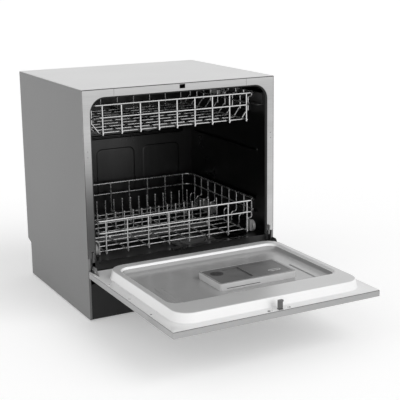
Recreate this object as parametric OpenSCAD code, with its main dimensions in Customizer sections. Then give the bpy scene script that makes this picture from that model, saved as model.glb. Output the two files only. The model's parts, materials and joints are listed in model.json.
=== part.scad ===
// Countertop dishwasher with a drop-down door and two pull-out racks.
// Millimetres, +X to the right, +Y to the back, +Z up. The origin lies on the
// worktop, under the middle of the cabinet's front plane. The door is drawn open
// and level, and both racks are drawn pushed in.

/* [Cabinet] */
// Overall width
cab_w = 550; // [520:5:600]
// Depth from the front plane to the back panel
cab_d = 478; // [460:2:520]
// Overall height
cab_h = 595; // [585:5:640]
// Thickness of the outer sheet steel
sheet_t = 1.2; // [0.8:0.1:2]
// Height of the side panels' lower edge above the worktop
panel_lift = 3; // [1:0.5:6]
// Width of the folded front edge of a side panel
flange_w = 6; // [4:0.5:8]
// Height of the hose recess at the rear
recess_h = 107; // [95:1:112]
// Depth of the hose recess at the rear
recess_d = 25; // [15:1:32]
// Height over which the side panel's rear edge curves into the recess
recess_curve_h = 12; // [6:1:20]
// Height of the kick plate's upper edge
kick_top = 97; // [85:1:104]
// Setback of the kick plate behind the front plane
kick_setback = 2; // [1:0.5:6]
// Height of the base pan's walls
pan_wall_h = 22; // [12:1:30]
// Thickness of the base pan
pan_t = 2; // [1.5:0.5:4]
// Diameter of a rubber foot
foot_d = 34; // [24:1:44]
// Height of a rubber foot
foot_h = 8; // [5:0.5:12]
// Distance of the feet's centres from the cabinet's sides and front
foot_inset = 42; // [30:1:60]
// Width of the folded rear edge of a side panel
back_flange_w = 24; // [20:1:30]

/* [Front frame and tub] */
// Width of the front frame at each side
frame_side_w = 20; // [16:1:26]
// Width of the front frame above the opening
frame_top_w = 20; // [18:1:26]
// Radius of the opening's upper corners
opening_r = 40; // [25:1:60]
// Height at which the frame's legs end above the hinge pockets
frame_leg_z = 166; // [162:1:175]
// Thickness of the stainless tub
tub_t = 1.2; // [0.8:0.1:2]
// Space between the tub's rear wall and the back of the cabinet
tub_back_space = 26; // [23:1:34]
// Thickness of the tub's floor moulding
floor_t = 2; // [1.5:0.1:3]
// Depth of the spray well below the wheel tracks
well_depth = 27; // [25:1:29]
// Width of each wheel track beside the spray well
track_w = 38; // [34:1:42]
// Distance of the well from the front and rear ends of the tub
well_end = 22; // [14:1:30]
// Corner radius of the spray well
well_r = 30; // [15:1:45]
// Height of the door seal's cross-section
seal_h = 4; // [3:0.5:4.5]
// Depth of the door seal from front to back
seal_d = 10; // [6:0.5:14]

/* [Door] */
// Thickness of the door at its edge
door_t = 16; // [15:0.5:20]
// Height of the closed door's lower edge above the worktop
door_bottom = 117; // [112:1:120]
// Gap between the closed door and the front frame
door_gap = 6; // [5:0.5:8]
// Depth of the hinge axis below the inner face
hinge_in = 6; // [5:0.5:8]
// Distance of the hinge axis from the lower edge
hinge_up = 9; // [8.5:0.5:12]
// Thickness of the inner liner's sheet
liner_t = 1; // [0.8:0.1:1.5]
// Width of the outer panel's fold under the liner's rim
door_flange_w = 16; // [12:1:18]
// Height of the liner's raised panel above its rim
plateau_h = 23; // [20:1:24]
// Slope of the raised panel's sides, as the width they take
plateau_slope = 6; // [3:1:9]
// Corner radius of the raised panel
plateau_r = 46; // [30:1:60]
// Clearance of the raised panel from the opening's sides
plateau_side_clear = 5; // [4.5:0.5:8]
// Clearance of the raised panel from the opening's top and the sill
plateau_end_clear = 3.5; // [3:0.5:6]
// Depth of the recess in the middle of the raised panel
pocket_depth = 15; // [12:1:17]
// Distance of the recess from the raised panel's front edge
pocket_front = 77; // [61:1:91]
// Width of the raised border beside the recess
pocket_side = 24; // [22:1:30]
// Slope of the recess's sides, as the width they take
pocket_slope = 9; // [4:1:14]
// Corner radius of the recess
pocket_r = 30; // [18:1:45]

/* [Hinges] */
// Diameter of a hinge pin
hinge_pin_d = 8; // [6:0.5:9]
// Thickness of the hinge brackets and arms
hinge_plate_t = 2; // [1.5:0.5:3]
// Length of a hinge arm inside the door
hinge_arm_l = 110; // [80:5:150]
// Height of a hinge arm's web above the liner's rim
hinge_web_h = 17; // [10:1:20]
// Length of a hinge arm's web in front of the axis
hinge_web_l = 34; // [20:1:40]

/* [Latch] */
// Width of the latch slot in the front frame
latch_slot_w = 16; // [14:1:24]
// Height of the latch slot in the front frame
latch_slot_h = 11; // [10:0.5:12]
// Distance of the latch from the cabinet's top
latch_drop = 9.5; // [9:0.5:11]
// Height of the latch hook above the liner's rim
latch_hook_h = 22; // [18:1:24]
// Width of the latch hook
latch_hook_w = 12; // [8:0.5:13]
// Thickness of the latch hook
latch_hook_t = 4; // [3:0.5:5]

/* [Dispenser] */
// Width of the detergent dispenser
disp_w = 210; // [200:2:230]
// Depth of the detergent dispenser from front to back
disp_l = 112; // [104:2:124]
// Height of the dispenser above the bottom of its recess
disp_h = 17; // [15:0.5:17.5]
// Offset of the dispenser to the right of the middle
disp_x = 37; // [20:1:50]
// Distance of the dispenser from the recess's front edge
disp_front_gap = 61.3; // [45.3:1:75.3]
// Width of the dispenser's sliding lid
lid_w = 100; // [80:2:110]
// Depth of the dispenser's sliding lid
lid_l = 78; // [60:2:84]
// Thickness of the sliding lid
lid_t = 3; // [2:0.5:4]
// Travel of the sliding lid
lid_travel = 45; // [30:1:50]
// Depth of the detergent chamber under the lid
chamber_depth = 10; // [6:0.5:11]
// Diameter of the rinse aid cap
cap_d = 32; // [24:1:36]

/* [Controls] */
// Width of the control strip on the door's outer face
strip_w = 320; // [280:5:400]
// Height of the control strip
strip_h = 46; // [40:1:54]
// Distance of the control strip from the door's upper edge
strip_drop = 18; // [12:1:30]
// Thickness of the control strip's face
strip_t = 3; // [2:0.5:4]
// Gap between the finger recess and the field of buttons at each side
grip_gap = 10; // [8:1:30]
// Diameter of a button
button_d = 14; // [10:1:18]
// Distance between the buttons
button_pitch = 30; // [24:1:36]
// Height of a button above the strip
button_proud = 1.5; // [1:0.5:2]
// Travel of a button
button_travel = 1.5; // [1:0.5:2]

/* [Racks] */
// Diameter of the rim wires
rim_d = 5; // [4:0.5:6]
// Diameter of the other rack wires
wire_d = 4; // [3:0.5:5]
// Distance of the racks' front wires from the front plane
rack_front = 30; // [28:1:34]
// Distance of the racks' back wires from the tub's rear wall
rack_back_gap = 22; // [20:1:40]
// Radius of the rims' corners
rim_bend = 24; // [16:1:32]
// Radius of the other wire bends
wire_bend = 6; // [5:0.5:8]

/* [Lower rack] */
// Distance of the side wires' middles from the tub's walls
low_side_gap = 15; // [14:0.5:17]
// Height of the rim above the wheel tracks
low_rim_h = 95; // [85:1:105]
// Distance of the middle rail below the rim
low_rail_drop = 32; // [24:1:36]
// Height of the floor wires above the wheel tracks
low_floor_h = 7; // [6.5:0.5:9]
// Step of the side wires inwards, over the wheels
low_jog = 16; // [15:1:18]
// Diameter of a wheel
wheel_d = 33; // [28:1:34]
// Width of a wheel
wheel_w = 9; // [7:0.5:10]
// Distance of the front wheel from the rack's front
wheel_front = 22; // [20:1:40]
// Distance of the middle wheel from the rack's back
wheel_mid_in = 150; // [140:2:170]
// Distance of the rear wheel from the rack's back
wheel_rear_in = 93; // [70:1:104]
// Height of the folding tines
tine_h = 66; // [40:1:75]
// Distance between neighbouring tines
tine_pitch = 26; // [20:1:40]
// Distance of the front tines from the rack's front
tines_front_y = 128; // [110:2:150]
// Distance of the rear tines from the rack's front
tines_rear_y = 262; // [230:2:280]

/* [Upper rack] */
// Distance of the rims' middles from the tub's walls
up_side_gap = 15; // [14:0.5:17]
// Distance of the upper rack's rim below the top of the opening
up_rim_drop = 24.8; // [21.8:0.5:33.8]
// Distance of the middle rail below the rim
up_rail_drop = 32; // [28:1:36]
// Distance of the floor wires below the rim
up_floor_drop = 75; // [67:1:83]
// Step of the side wires inwards, below the rim
up_jog = 11; // [10:0.5:12]
// Distance of that step below the rim
up_jog_drop = 14; // [12:1:20]
// Diameter of a roller
roller_d = 29; // [24:1:30]
// Width of a roller
roller_w = 6; // [5:0.5:6.5]
// Distance of the front rollers from the rack's front
roller_front = 205; // [190:1:210]
// Distance between the front and middle rollers
roller_gap = 34; // [32:1:44]
// Distance of the rear rollers from the rack's back
roller_rear_in = 40; // [34:1:60]
// Thickness of the fixed rails' lips
rail_t = 1.5; // [1:0.1:2]
// Thickness of the fixed rails at the tub's wall
rail_wall = 5.5; // [5.3:0.1:8]
// Distance of the fixed rails' rear ends from the tub's rear wall
rail_back_gap = 40; // [20:5:60]

/* [Spray arms] */
// Gap between the lower arm's tips and the nearest wall of the spray well
low_arm_gap = 13.4; // [8.4:1:40.4]
// Distance of the upper arm's tips inside the rack's front and back
up_arm_gap = 20; // [10:1:50]
// Width of an arm at its hub
arm_w = 44; // [36:1:52]
// Width of an arm at its tips
arm_tip_w = 26; // [20:1:34]
// Thickness of an arm
arm_t = 12; // [8:0.5:13]
// Diameter of the post that each arm turns on
post_d = 18; // [14:1:22]
// Diameter of the water pipes
pipe_d = 14; // [12:0.5:15]

/* [Pumps and connections] */
// Diameter of the filter cup
filter_d = 76; // [60:1:84]
// Height of the filter cup
filter_h = 46; // [30:1:52]
// Diameter of the wash pump's motor
pump_d = 76; // [60:1:80]
// Length of the wash pump's motor
pump_l = 110; // [80:5:130]
// Diameter of the wash pump's volute
volute_d = 61; // [50:1:64]
// Diameter of the drain pump
drain_pump_d = 46; // [36:1:56]
// Length of the drain pump
drain_pump_l = 60; // [40:5:80]
// Diameter of the water inlet's thread
inlet_d = 26.4; // [20:0.1:30]
// Length of the water inlet behind the panel
inlet_l = 14; // [10:1:20]
// Diameter of the drain hose's spigot
drain_d = 20; // [16:0.5:24]
// Diameter of the drain pipe inside the cabinet
drain_pipe_d = 16; // [12:0.5:18]
// Length of the drain hose's spigot behind the panel
drain_l = 20; // [14:1:22]
// Diameter of the power cord's gland
gland_d = 20; // [16:0.5:24]

/* [Hidden] */

// Roundness of the drawn curves
$fn = 48;
wire_fn = 16;
hull_fn = 32;

// Overrun of every cut past the face that it opens
over = 1;
// Clearances: running fits, sliding parts and the racks' wheels
run_clear = 0.1;
slide_clear = 0.5;
wheel_clear = 0.3;
// Overlap that welds one wire to another
weld = 1;

// Cabinet
half_w = cab_w / 2;
inner_half_w = half_w - sheet_t;
top_under = cab_h - sheet_t;
lower_back_y = cab_d - recess_d;
back_inner_y = cab_d - sheet_t;
recess_floor_z = recess_h + sheet_t;
pan_z = foot_h;
pan_top_z = pan_z + pan_t;
kick_back_y = kick_setback + sheet_t;
top_reveal = 0.8;
top_skirt_h = 6;
curve_steps = 8;

// Tub and opening
tub_half = half_w - frame_side_w;
tub_outer_half = tub_half + tub_t;
opening_top = top_under - frame_top_w;
tub_front_y = sheet_t;
tub_back_y = cab_d - tub_back_space;

// Hinge axis and the open door
hinge_y = -(door_gap + hinge_in);
hinge_z = door_bottom + hinge_up;
rim_z = hinge_z + hinge_in;
door_back_y = hinge_y + hinge_up;
door_l = cab_h - door_bottom;
track_z = rim_z + plateau_h;

// Liner outline, measured from the door's lower edge
plateau_half = tub_half - plateau_side_clear;
plateau_v0 = track_z + plateau_end_clear - door_bottom;
plateau_v1 = opening_top - plateau_end_clear - door_bottom;
pocket_half = plateau_half - plateau_slope - pocket_side + pocket_slope;
pocket_v0 = plateau_v0 + plateau_slope + pocket_side;
pocket_v1 = plateau_v1 - pocket_front;
pocket_z = track_z - pocket_depth;
disp_v = pocket_v1 - disp_front_gap - disp_l / 2;

// Spray well and hub
well_half = tub_half - track_w;
well_y0 = tub_front_y + well_end;
well_y1 = tub_back_y - well_end;
well_z = track_z - well_depth;
hub_y = (well_y0 + well_y1) / 2;
low_arm_l = 2 * (min(well_half, hub_y - well_y0) - low_arm_gap);
sump_top_z = well_z - floor_t;
apron_t = 2;
apron_z = kick_top + sheet_t;

// Racks
rack_back = tub_back_y - rack_back_gap;
rack_l = rack_back - rack_front;
rack_mid_y = rack_front + rack_l / 2;
low_half = tub_half - low_side_gap;
low_rim_z = track_z + low_rim_h;
low_rail_z = low_rim_z - low_rail_drop;
low_floor_z = track_z + low_floor_h;
wheel_r = wheel_d / 2;
axle_z = track_z + wheel_clear + wheel_r;
low_jog_z = axle_z + wheel_r + wire_d;
low_in_half = low_half - low_jog;
wheel_x = low_half - wheel_w / 2;
wheel_mid = rack_l - wheel_mid_in;
wheel_rear = rack_l - wheel_rear_in;
up_half = tub_half - up_side_gap;
up_in_half = up_half - up_jog;
up_rim_z = opening_top - up_rim_drop;
up_floor_z = up_rim_z - up_floor_drop;
up_jog_z = up_rim_z - up_jog_drop;
up_rail_z = up_rim_z - up_rail_drop;
roller_r = roller_d / 2;
roller_z = up_rim_z - rim_d / 2 - slide_clear - roller_r;
roller_rear = rack_l - roller_rear_in;
up_arm_l = rack_l - 2 * up_arm_gap;
roller_x = tub_half - rail_wall - 2 * slide_clear - roller_w / 2;
axle_d = 6;
bracket_t = 3;

function unit(v) = v / norm(v);

// A solid of a flat outline in X and Z, from y0 backwards
module xz_plate(y0, t) {
    translate([0, y0 + t, 0]) rotate([90, 0, 0]) linear_extrude(t) children();
}

// A solid of a flat outline in Y and Z, from x0 to the right
module yz_plate(x0, t) {
    translate([x0, 0, 0]) rotate([90, 0, 90]) linear_extrude(t) children();
}

// A box from its lowest to its highest corner
module block(a, b) {
    translate(a) cube(b - a);
}

// A round bar between two points
module bar(a, b, d) {
    v = b - a;
    translate(a) rotate([0, acos(v.z / norm(v)), atan2(v.y, v.x)])
        cylinder(d = d, h = norm(v));
}

// A pair of shapes, one at each side
module both_sides() {
    children();
    mirror([1, 0, 0]) children();
}

// A rectangle with round corners, drawn from its lowest corner
module round_rect(w, h, r) {
    translate([r, 0]) square([w - 2 * r, h]);
    translate([0, r]) square([w, h - 2 * r]);
    for (x = [r, w - r], y = [r, h - r]) translate([x, y]) circle(r);
}

// The tub's outline: straight sides and round upper corners
module tub_outline(half, z0, z1, r) {
    translate([-half, z0]) square([2 * half, z1 - r - z0]);
    translate([r - half, z0]) square([2 * (half - r), z1 - z0]);
    for (s = [-1, 1]) translate([s * (half - r), z1 - r]) circle(r);
}

// A round elbow at p1 between wires that come from p0 and leave to p2
module elbow(p0, p1, p2, d, bend) {
    u = unit(p0 - p1);
    v = unit(p2 - p1);
    inside = acos(u * v);
    centre = p1 + unit(u + v) * bend / sin(inside / 2);
    e1 = unit(p1 + u * bend / tan(inside / 2) - centre);
    e2 = unit(p1 + v * bend / tan(inside / 2) - centre);
    n = unit(cross(e1, e2));
    e3 = cross(n, e1);
    multmatrix([[e1.x, e3.x, n.x, centre.x], [e1.y, e3.y, n.y, centre.y],
            [e1.z, e3.z, n.z, centre.z], [0, 0, 0, 1]])
        rotate_extrude(angle = 180 - inside) translate([bend, 0]) circle(d = d);
}

// A bent wire through a list of points
module wire(points, d, bend) {
    last = len(points) - 1;
    cut = [for (i = [0:last]) i == 0 || i == last ? 0 :
        bend / tan(acos(unit(points[i - 1] - points[i]) * unit(points[i + 1] - points[i])) / 2)];
    for (i = [0:last - 1]) {
        along = unit(points[i + 1] - points[i]);
        bar(points[i] + along * cut[i], points[i + 1] - along * cut[i + 1], d, $fn = wire_fn);
    }
    for (i = [1:1:last - 1])
        elbow(points[i - 1], points[i], points[i + 1], d, bend, $fn = wire_fn);
}

// Places shapes in the open door: x across, y negative from the lower edge,
// z up from the liner's rim
module on_door() {
    translate([0, door_back_y, rim_z]) children();
}

// CABINET

// Outline of a side panel in Y and Z, with the hose recess at the rear
module side_outline() {
    top = top_under - top_reveal;
    polygon([[0, panel_lift], [lower_back_y, panel_lift],
        for (i = [0:curve_steps]) [
            lower_back_y + recess_d * (1 - cos(180 * i / curve_steps)) / 2,
            recess_h - recess_curve_h + recess_curve_h * i / curve_steps],
        [cab_d, top], [sheet_t, top], [sheet_t, frame_leg_z], [0, frame_leg_z]]);
}

// Holes for the screws that hold the back panel
module back_screw_holes() {
    for (s = [-1, 1], z = back_screw_z) translate([s * back_screw_x, cab_d + over, z])
        rotate([90, 0, 0]) cylinder(d = screw_d + 2 * run_clear, h = 2 * (sheet_t + over),
            $fn = wire_fn);
}

module side_panel() {
    difference() {
        union() {
            yz_plate(-half_w, sheet_t) side_outline();
            block([-half_w, 0, panel_lift], [flange_w - half_w, sheet_t, frame_leg_z]);
            block([-half_w, back_inner_y - sheet_t, recess_floor_z],
                [back_flange_w - half_w, back_inner_y, top_under - 2 * top_skirt_h]);
        }
        back_screw_holes();
    }
}

module left_side_panel() {
    color("#868686") side_panel();
}

module right_side_panel() {
    color("#868686") mirror([1, 0, 0]) side_panel();
}

module top_panel() {
    color("#d9d9d9") {
        block([-half_w, 0, top_under], [half_w, cab_d, cab_h]);
        difference() {
            block([-inner_half_w, tub_front_y, top_under - top_skirt_h],
                [inner_half_w, back_inner_y, top_under + sheet_t / 2]);
            block([sheet_t - inner_half_w, tub_front_y + sheet_t, top_under - top_skirt_h - over],
                [inner_half_w - sheet_t, back_inner_y - sheet_t, top_under]);
            // Notch for the latch
            block([-latch_slot_w / 2 - 2 * strike_t, 0, top_under - top_skirt_h - over],
                [latch_slot_w / 2 + 2 * strike_t, 2 * tub_front_y + over, top_under]);
        }
    }
}

// The inlet, drain and cord pass through the recessed lower part
conn_z = 60;
inlet_inset = 85;
drain_to_inlet = 60;
gland_inset = 85;
inlet_x = inlet_inset - half_w;
drain_x = inlet_x + drain_to_inlet;
gland_x = half_w - gland_inset;
inlet_neck_d = 21;
inlet_hole_d = inlet_neck_d + 2 * slide_clear;
drain_hole_d = drain_pipe_d + 2 * slide_clear;
gland_rim = 3;
gland_hole_d = gland_d - 2 * gland_rim;

module back_panel() {
    color("#8d8d8d") difference() {
        union() {
            block([-inner_half_w, back_inner_y, recess_h], [inner_half_w, cab_d, top_under]);
            block([-inner_half_w, lower_back_y - sheet_t, recess_h],
                [inner_half_w, cab_d, recess_floor_z]);
            block([-inner_half_w, lower_back_y - sheet_t, panel_lift],
                [inner_half_w, lower_back_y, recess_floor_z]);
        }
        for (c = [[inlet_x, inlet_hole_d], [drain_x, drain_hole_d], [gland_x, gland_hole_d]])
            translate([c[0], lower_back_y + over, conn_z]) rotate([90, 0, 0])
                cylinder(d = c[1], h = sheet_t + 2 * over);
        back_screw_holes();
    }
}

module base_pan() {
    color("#3a3a3c") difference() {
        block([-inner_half_w, kick_back_y, pan_z],
            [inner_half_w, lower_back_y - sheet_t, pan_z + pan_wall_h]);
        block([pan_t - inner_half_w, kick_back_y + pan_t, pan_top_z],
            [inner_half_w - pan_t, lower_back_y - sheet_t - pan_t, pan_z + pan_wall_h + over]);
    }
}

foot_x = half_w - foot_inset;
foot_rim = 2;

module feet() {
    color("#1d1d1f") for (x = [-foot_x, foot_x], y = [foot_inset, lower_back_y - foot_inset])
        translate([x, y, 0]) {
            cylinder(d1 = foot_d - foot_rim, d2 = foot_d, h = foot_rim);
            translate([0, 0, foot_rim]) cylinder(d = foot_d, h = foot_h - foot_rim);
        }
}

module kick_plate() {
    color("#2a2a2a") block([flange_w - half_w, kick_setback, panel_lift],
        [half_w - flange_w, kick_back_y, kick_top]);
}

module front_frame() {
    color("#c4c4c4") difference() {
        xz_plate(0, sheet_t) difference() {
            translate([-half_w, frame_leg_z])
                square([cab_w, top_under - top_reveal - frame_leg_z]);
            tub_outline(tub_half, frame_leg_z - over, opening_top, opening_r);
        }
        block([-latch_slot_w / 2, -over, latch_z - latch_slot_h / 2],
            [latch_slot_w / 2, sheet_t + over, latch_z + latch_slot_h / 2]);
        for (x = frame_screw_x, z = frame_screw_z) translate([x, sheet_t + over, z])
            rotate([90, 0, 0]) cylinder(d = small_screw_d + 2 * run_clear,
                h = sheet_t + 2 * over, $fn = wire_fn);
    }
}

module tub_wrapper() {
    color("#9a9a9a") xz_plate(tub_front_y, tub_back_y - tub_front_y) difference() {
        tub_outline(tub_outer_half, track_z, opening_top + tub_t, opening_r + tub_t);
        tub_outline(tub_half, track_z - over, opening_top, opening_r);
    }
}

module tub_back() {
    color("#8a8a8a") difference() {
        xz_plate(tub_back_y, tub_t)
            tub_outline(tub_outer_half, track_z - floor_t, opening_top + tub_t,
                opening_r + tub_t);
        translate([0, tub_back_y - over, dock_z]) rotate([-90, 0, 0])
            cylinder(d = pipe_d + 2 * slide_clear, h = tub_t + 2 * over);
    }
}

module well_solid(grow, z0, z1) {
    translate([-well_half - grow, well_y0 - grow, z0]) linear_extrude(z1 - z0)
        round_rect(2 * (well_half + grow), well_y1 - well_y0 + 2 * grow, well_r + grow);
}

module tub_floor() {
    color("#8f8f8f") difference() {
        union() {
            block([-tub_outer_half, tub_front_y, track_z - floor_t],
                [tub_outer_half, tub_back_y, track_z]);
            well_solid(floor_t, sump_top_z, track_z);
            block([-tub_half, tub_front_y, apron_z],
                [tub_half, tub_front_y + apron_t, track_z]);
        }
        well_solid(0, well_z, track_z + over);
        translate([filter_x, filter_y, sump_top_z - over])
            cylinder(d = filter_d + 2 * filter_gap, h = floor_t + 2 * over);
        translate([0, hub_y, sump_top_z - over])
            cylinder(d = collar_d + 2 * slide_clear, h = floor_t + 2 * over);
    }
}

module door_seal() {
    color("#2b2b2d") xz_plate(tub_front_y, seal_d) difference() {
        tub_outline(tub_half, track_z, opening_top, opening_r);
        tub_outline(tub_half - seal_h, track_z - over, opening_top - seal_h,
            opening_r - seal_h);
    }
}

// WATER SYSTEM

filter_x = 92;
filter_to_hub = 96;
filter_y = hub_y - filter_to_hub;
filter_gap = 14;
filter_wall = 2;
sump_wall = 3;
sump_lift = 20;
sump_bottom_z = pan_top_z + sump_lift;
sump_r = filter_d / 2 + filter_gap + sump_wall;
sump_leg_d = 16;
duct_h = 25;
duct_z = sump_top_z - duct_h;
arm_gap = 6;
low_arm_z = well_z + arm_gap;
post_top = 3;
collar_d = 30;
collar_t = 4;
cup_lift = 3;
cup_top_z = well_z + cup_lift;
cup_flange_w = 3;
grip_t = 4;
plate_rim = 26;
plate_r = filter_d / 2 + plate_rim;
plate_t = 1;
hole_d = 3;
// Rings of holes: distance from the cup's edge, and how many
hole_rings = [[6.5, 24], [12, 30]];

// The wash pump lies across the base, behind the hub
pump_to_hub = 96;
pump_y = hub_y + pump_to_hub;
pump_lift = 6;
pump_z = pan_top_z + pump_d / 2 + pump_lift;
pump_x = -pump_l / 2;
volute_w = 26;
volute_x = pump_x + pump_l - weld + volute_w;
cradle_w = 30;
outlet_h = 4;
outlet_wall = 2;
suction_d = 22;
suction_bend = 14;
suction_x = volute_x + suction_bend + 2 * weld;

module sump() {
    color("#4a4a4c") {
        translate([filter_x, filter_y, 0]) difference() {
            translate([0, 0, sump_bottom_z])
                cylinder(r = sump_r, h = sump_top_z - sump_bottom_z);
            translate([0, 0, sump_bottom_z + sump_wall])
                cylinder(r = sump_r - sump_wall, h = sump_top_z - sump_bottom_z);
        }
        // Duct from the sump to the hub of the lower arm
        block([-post_d, hub_y - post_d, duct_z], [filter_x, hub_y + post_d, sump_top_z]);
        block([filter_x - sump_r, filter_y + sump_r - 2 * sump_wall, duct_z],
            [filter_x, hub_y + post_d, sump_top_z]);
        translate([0, hub_y, sump_top_z - sump_wall])
            cylinder(d = post_d, h = low_arm_z + arm_t + post_top - sump_top_z + sump_wall);
        translate([0, hub_y, sump_top_z - sump_wall])
            cylinder(d = collar_d, h = low_arm_z - wheel_clear - sump_top_z + sump_wall);
        translate([filter_x, filter_y, pan_top_z])
            cylinder(d = sump_leg_d, h = sump_bottom_z - pan_top_z + sump_wall);
        // Suction pipe, which ends on the face of the pump's volute
        wire([[suction_x, filter_y + sump_r - sump_wall, pump_z], [suction_x, pump_y, pump_z],
                [volute_x, pump_y, pump_z]], suction_d, suction_bend);
    }
}

module filter_plate() {
    color("#b9b9b9") translate([filter_x, filter_y, well_z]) difference() {
        cylinder(r = plate_r, h = plate_t);
        translate([0, 0, -over])
            cylinder(d = filter_d + 2 * slide_clear, h = plate_t + 2 * over);
        for (ring = hole_rings, i = [0:ring[1] - 1])
            rotate(360 * i / ring[1]) translate([filter_d / 2 + ring[0], 0, -over])
                cylinder(d = hole_d, h = plate_t + 2 * over, $fn = wire_fn);
    }
}

module filter_cup() {
    color("#6f7274") translate([filter_x, filter_y, cup_top_z - filter_h]) {
        difference() {
            cylinder(d = filter_d, h = filter_h);
            translate([0, 0, filter_wall])
                cylinder(d = filter_d - 2 * filter_wall, h = filter_h);
        }
        // Flange that rests on the filter plate
        translate([0, 0, filter_h - cup_lift + plate_t]) difference() {
            cylinder(r = filter_d / 2 + cup_flange_w, h = cup_lift - plate_t);
            translate([0, 0, -over]) cylinder(d = filter_d - filter_wall, h = cup_lift + over);
        }
        block([filter_wall / 2 - filter_d / 2, -grip_t / 2, filter_h - 3 * grip_t],
            [filter_d / 2 - filter_wall / 2, grip_t / 2, filter_h]);
    }
}

module wash_pump() {
    color("#54565a") {
        translate([pump_x, pump_y, pump_z]) rotate([0, 90, 0])
            cylinder(d = pump_d, h = pump_l);
        translate([pump_x + pump_l - weld, pump_y, pump_z]) rotate([0, 90, 0])
            cylinder(d = volute_d, h = volute_w);
        block([-cradle_w / 2, pump_y - cradle_w / 2, pan_top_z],
            [cradle_w / 2, pump_y + cradle_w / 2, pump_z]);
        translate([0, pump_y, pump_z])
            cylinder(d = pipe_d + 2 * outlet_wall, h = pump_d / 2 + outlet_h);
    }
}

drain_y = filter_y;
drain_pump_x = filter_x - sump_r - drain_pump_l;

module drain_pump() {
    color("#54565a") {
        translate([drain_pump_x, drain_y, conn_z]) rotate([0, 90, 0])
            cylinder(d = drain_pump_d, h = drain_pump_l);
        block([drain_pump_x + drain_pump_l / 4, drain_y - drain_pump_d / 4, pan_top_z],
            [drain_pump_x + drain_pump_l / 2, drain_y + drain_pump_d / 4, conn_z]);
        wire([[drain_pump_x + weld, drain_y, conn_z], [drain_x, drain_y, conn_z],
                [drain_x, lower_back_y + weld, conn_z]], drain_pipe_d, drain_d);
        translate([drain_x, lower_back_y, conn_z]) rotate([-90, 0, 0])
            cylinder(d = drain_d, h = drain_l);
    }
}

heater_d = 44;
heater_l = 86;
heater_x = 150;
terminal_d = 6;

module heater() {
    color("#a7a7a7") translate([heater_x, pump_y, pan_top_z]) {
        cylinder(d = heater_d, h = heater_l);
        for (s = [-1, 1]) translate([s * heater_d / 4, 0, heater_l - weld])
            cylinder(d = terminal_d, h = terminal_d + weld, $fn = wire_fn);
    }
}

// The riser climbs behind the tub and meets the upper rack's manifold
riser_y = (tub_back_y + tub_t + back_inner_y) / 2;
pipe_z = (recess_floor_z + sump_top_z) / 2;
dock_z = up_floor_z - wire_d / 2 - pipe_d / 2 + weld;
dock_l = 10;
pipe_bend = 9;

module feed_pipe() {
    color("#3f4144") wire([[0, pump_y, pump_z + pump_d / 2 + outlet_h], [0, pump_y, pipe_z],
            [0, riser_y, pipe_z], [0, riser_y, dock_z],
            [0, tub_back_y - dock_l, dock_z]], pipe_d, pipe_bend);
}

valve_w = 40;
valve_l = 50;

module inlet_valve() {
    color("#e4e4e0") {
        block([inlet_x - valve_w / 2, lower_back_y - sheet_t - valve_l, pan_z + pan_wall_h],
            [inlet_x + valve_w / 2, lower_back_y - sheet_t, conn_z + valve_w / 2]);
        translate([inlet_x, lower_back_y - sheet_t - weld, conn_z]) rotate([-90, 0, 0])
            cylinder(d = inlet_neck_d, h = sheet_t + 2 * weld);
        translate([inlet_x, lower_back_y, conn_z]) rotate([-90, 0, 0])
            cylinder(d = inlet_d, h = inlet_l);
    }
}

gland_flange_t = 4;
gland_nose_l = 14;
gland_nose_d = 14;
gland_bore_d = 7;

module cord_gland() {
    color("#232325") translate([gland_x, lower_back_y, conn_z]) rotate([-90, 0, 0])
        difference() {
            union() {
                translate([0, 0, -sheet_t - gland_flange_t])
                    cylinder(d = gland_hole_d - 2 * run_clear,
                        h = sheet_t + gland_flange_t + weld);
                cylinder(d = gland_d, h = gland_flange_t);
                cylinder(d = gland_nose_d, h = gland_nose_l);
            }
            translate([0, 0, -sheet_t - gland_flange_t - over])
                cylinder(d = gland_bore_d,
                    h = sheet_t + gland_flange_t + gland_nose_l + 2 * over);
        }
}

// FIXED HARDWARE

// Rails for the upper rack: a lower ledge carries the rollers, a lip keeps them in
door_reach = hinge_y + hinge_in + plateau_h;
rail_y0 = max(tub_front_y + seal_d, door_reach) + 2 * slide_clear;
rail_l = tub_back_y - rail_back_gap - rail_y0;
rail_under_z = roller_z - roller_r - wheel_clear;
rail_over_z = roller_z + roller_r + wheel_clear;
rail_lip_w = tub_half - up_half - rim_d / 2 - 2 * slide_clear;
rail_ledge_w = tub_half - up_in_half - wire_d / 2 - bracket_t - 2 * slide_clear;

module upper_rails() {
    color("#bcbcbc") intersection() {
        both_sides() {
            block([tub_half - rail_wall, rail_y0, rail_under_z - rail_t],
                [tub_half, rail_y0 + rail_l, rail_over_z + rail_t]);
            block([tub_half - rail_ledge_w, rail_y0, rail_under_z - rail_t],
                [tub_half, rail_y0 + rail_l, rail_under_z]);
            block([tub_half - rail_lip_w, rail_y0, rail_over_z],
                [tub_half, rail_y0 + rail_l, rail_over_z + rail_t]);
        }
        xz_plate(rail_y0, rail_l) tub_outline(tub_half, track_z, opening_top, opening_r);
    }
}

// Two ears on each side hold the pin of the door's hinge
pocket_x0 = tub_outer_half;
pocket_x1 = inner_half_w;
ear_wall = 3.5;
ear_r = hinge_pin_d / 2 + ear_wall;
ear_gap = hinge_plate_t + 2 * slide_clear;
ear_mid_x = (pocket_x0 + pocket_x1) / 2;
bracket_y = hinge_y + hinge_in + hinge_web_h + 2 * hinge_plate_t;
bracket_z0 = hinge_z - ear_r;
bracket_l = 30;

module ear(x0) {
    translate([x0, hinge_y, hinge_z]) rotate([0, 90, 0]) cylinder(r = ear_r, h = hinge_plate_t);
    block([x0, hinge_y, bracket_z0], [x0 + hinge_plate_t, bracket_y + hinge_plate_t,
        bracket_z0 + 2 * ear_r]);
}

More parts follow.
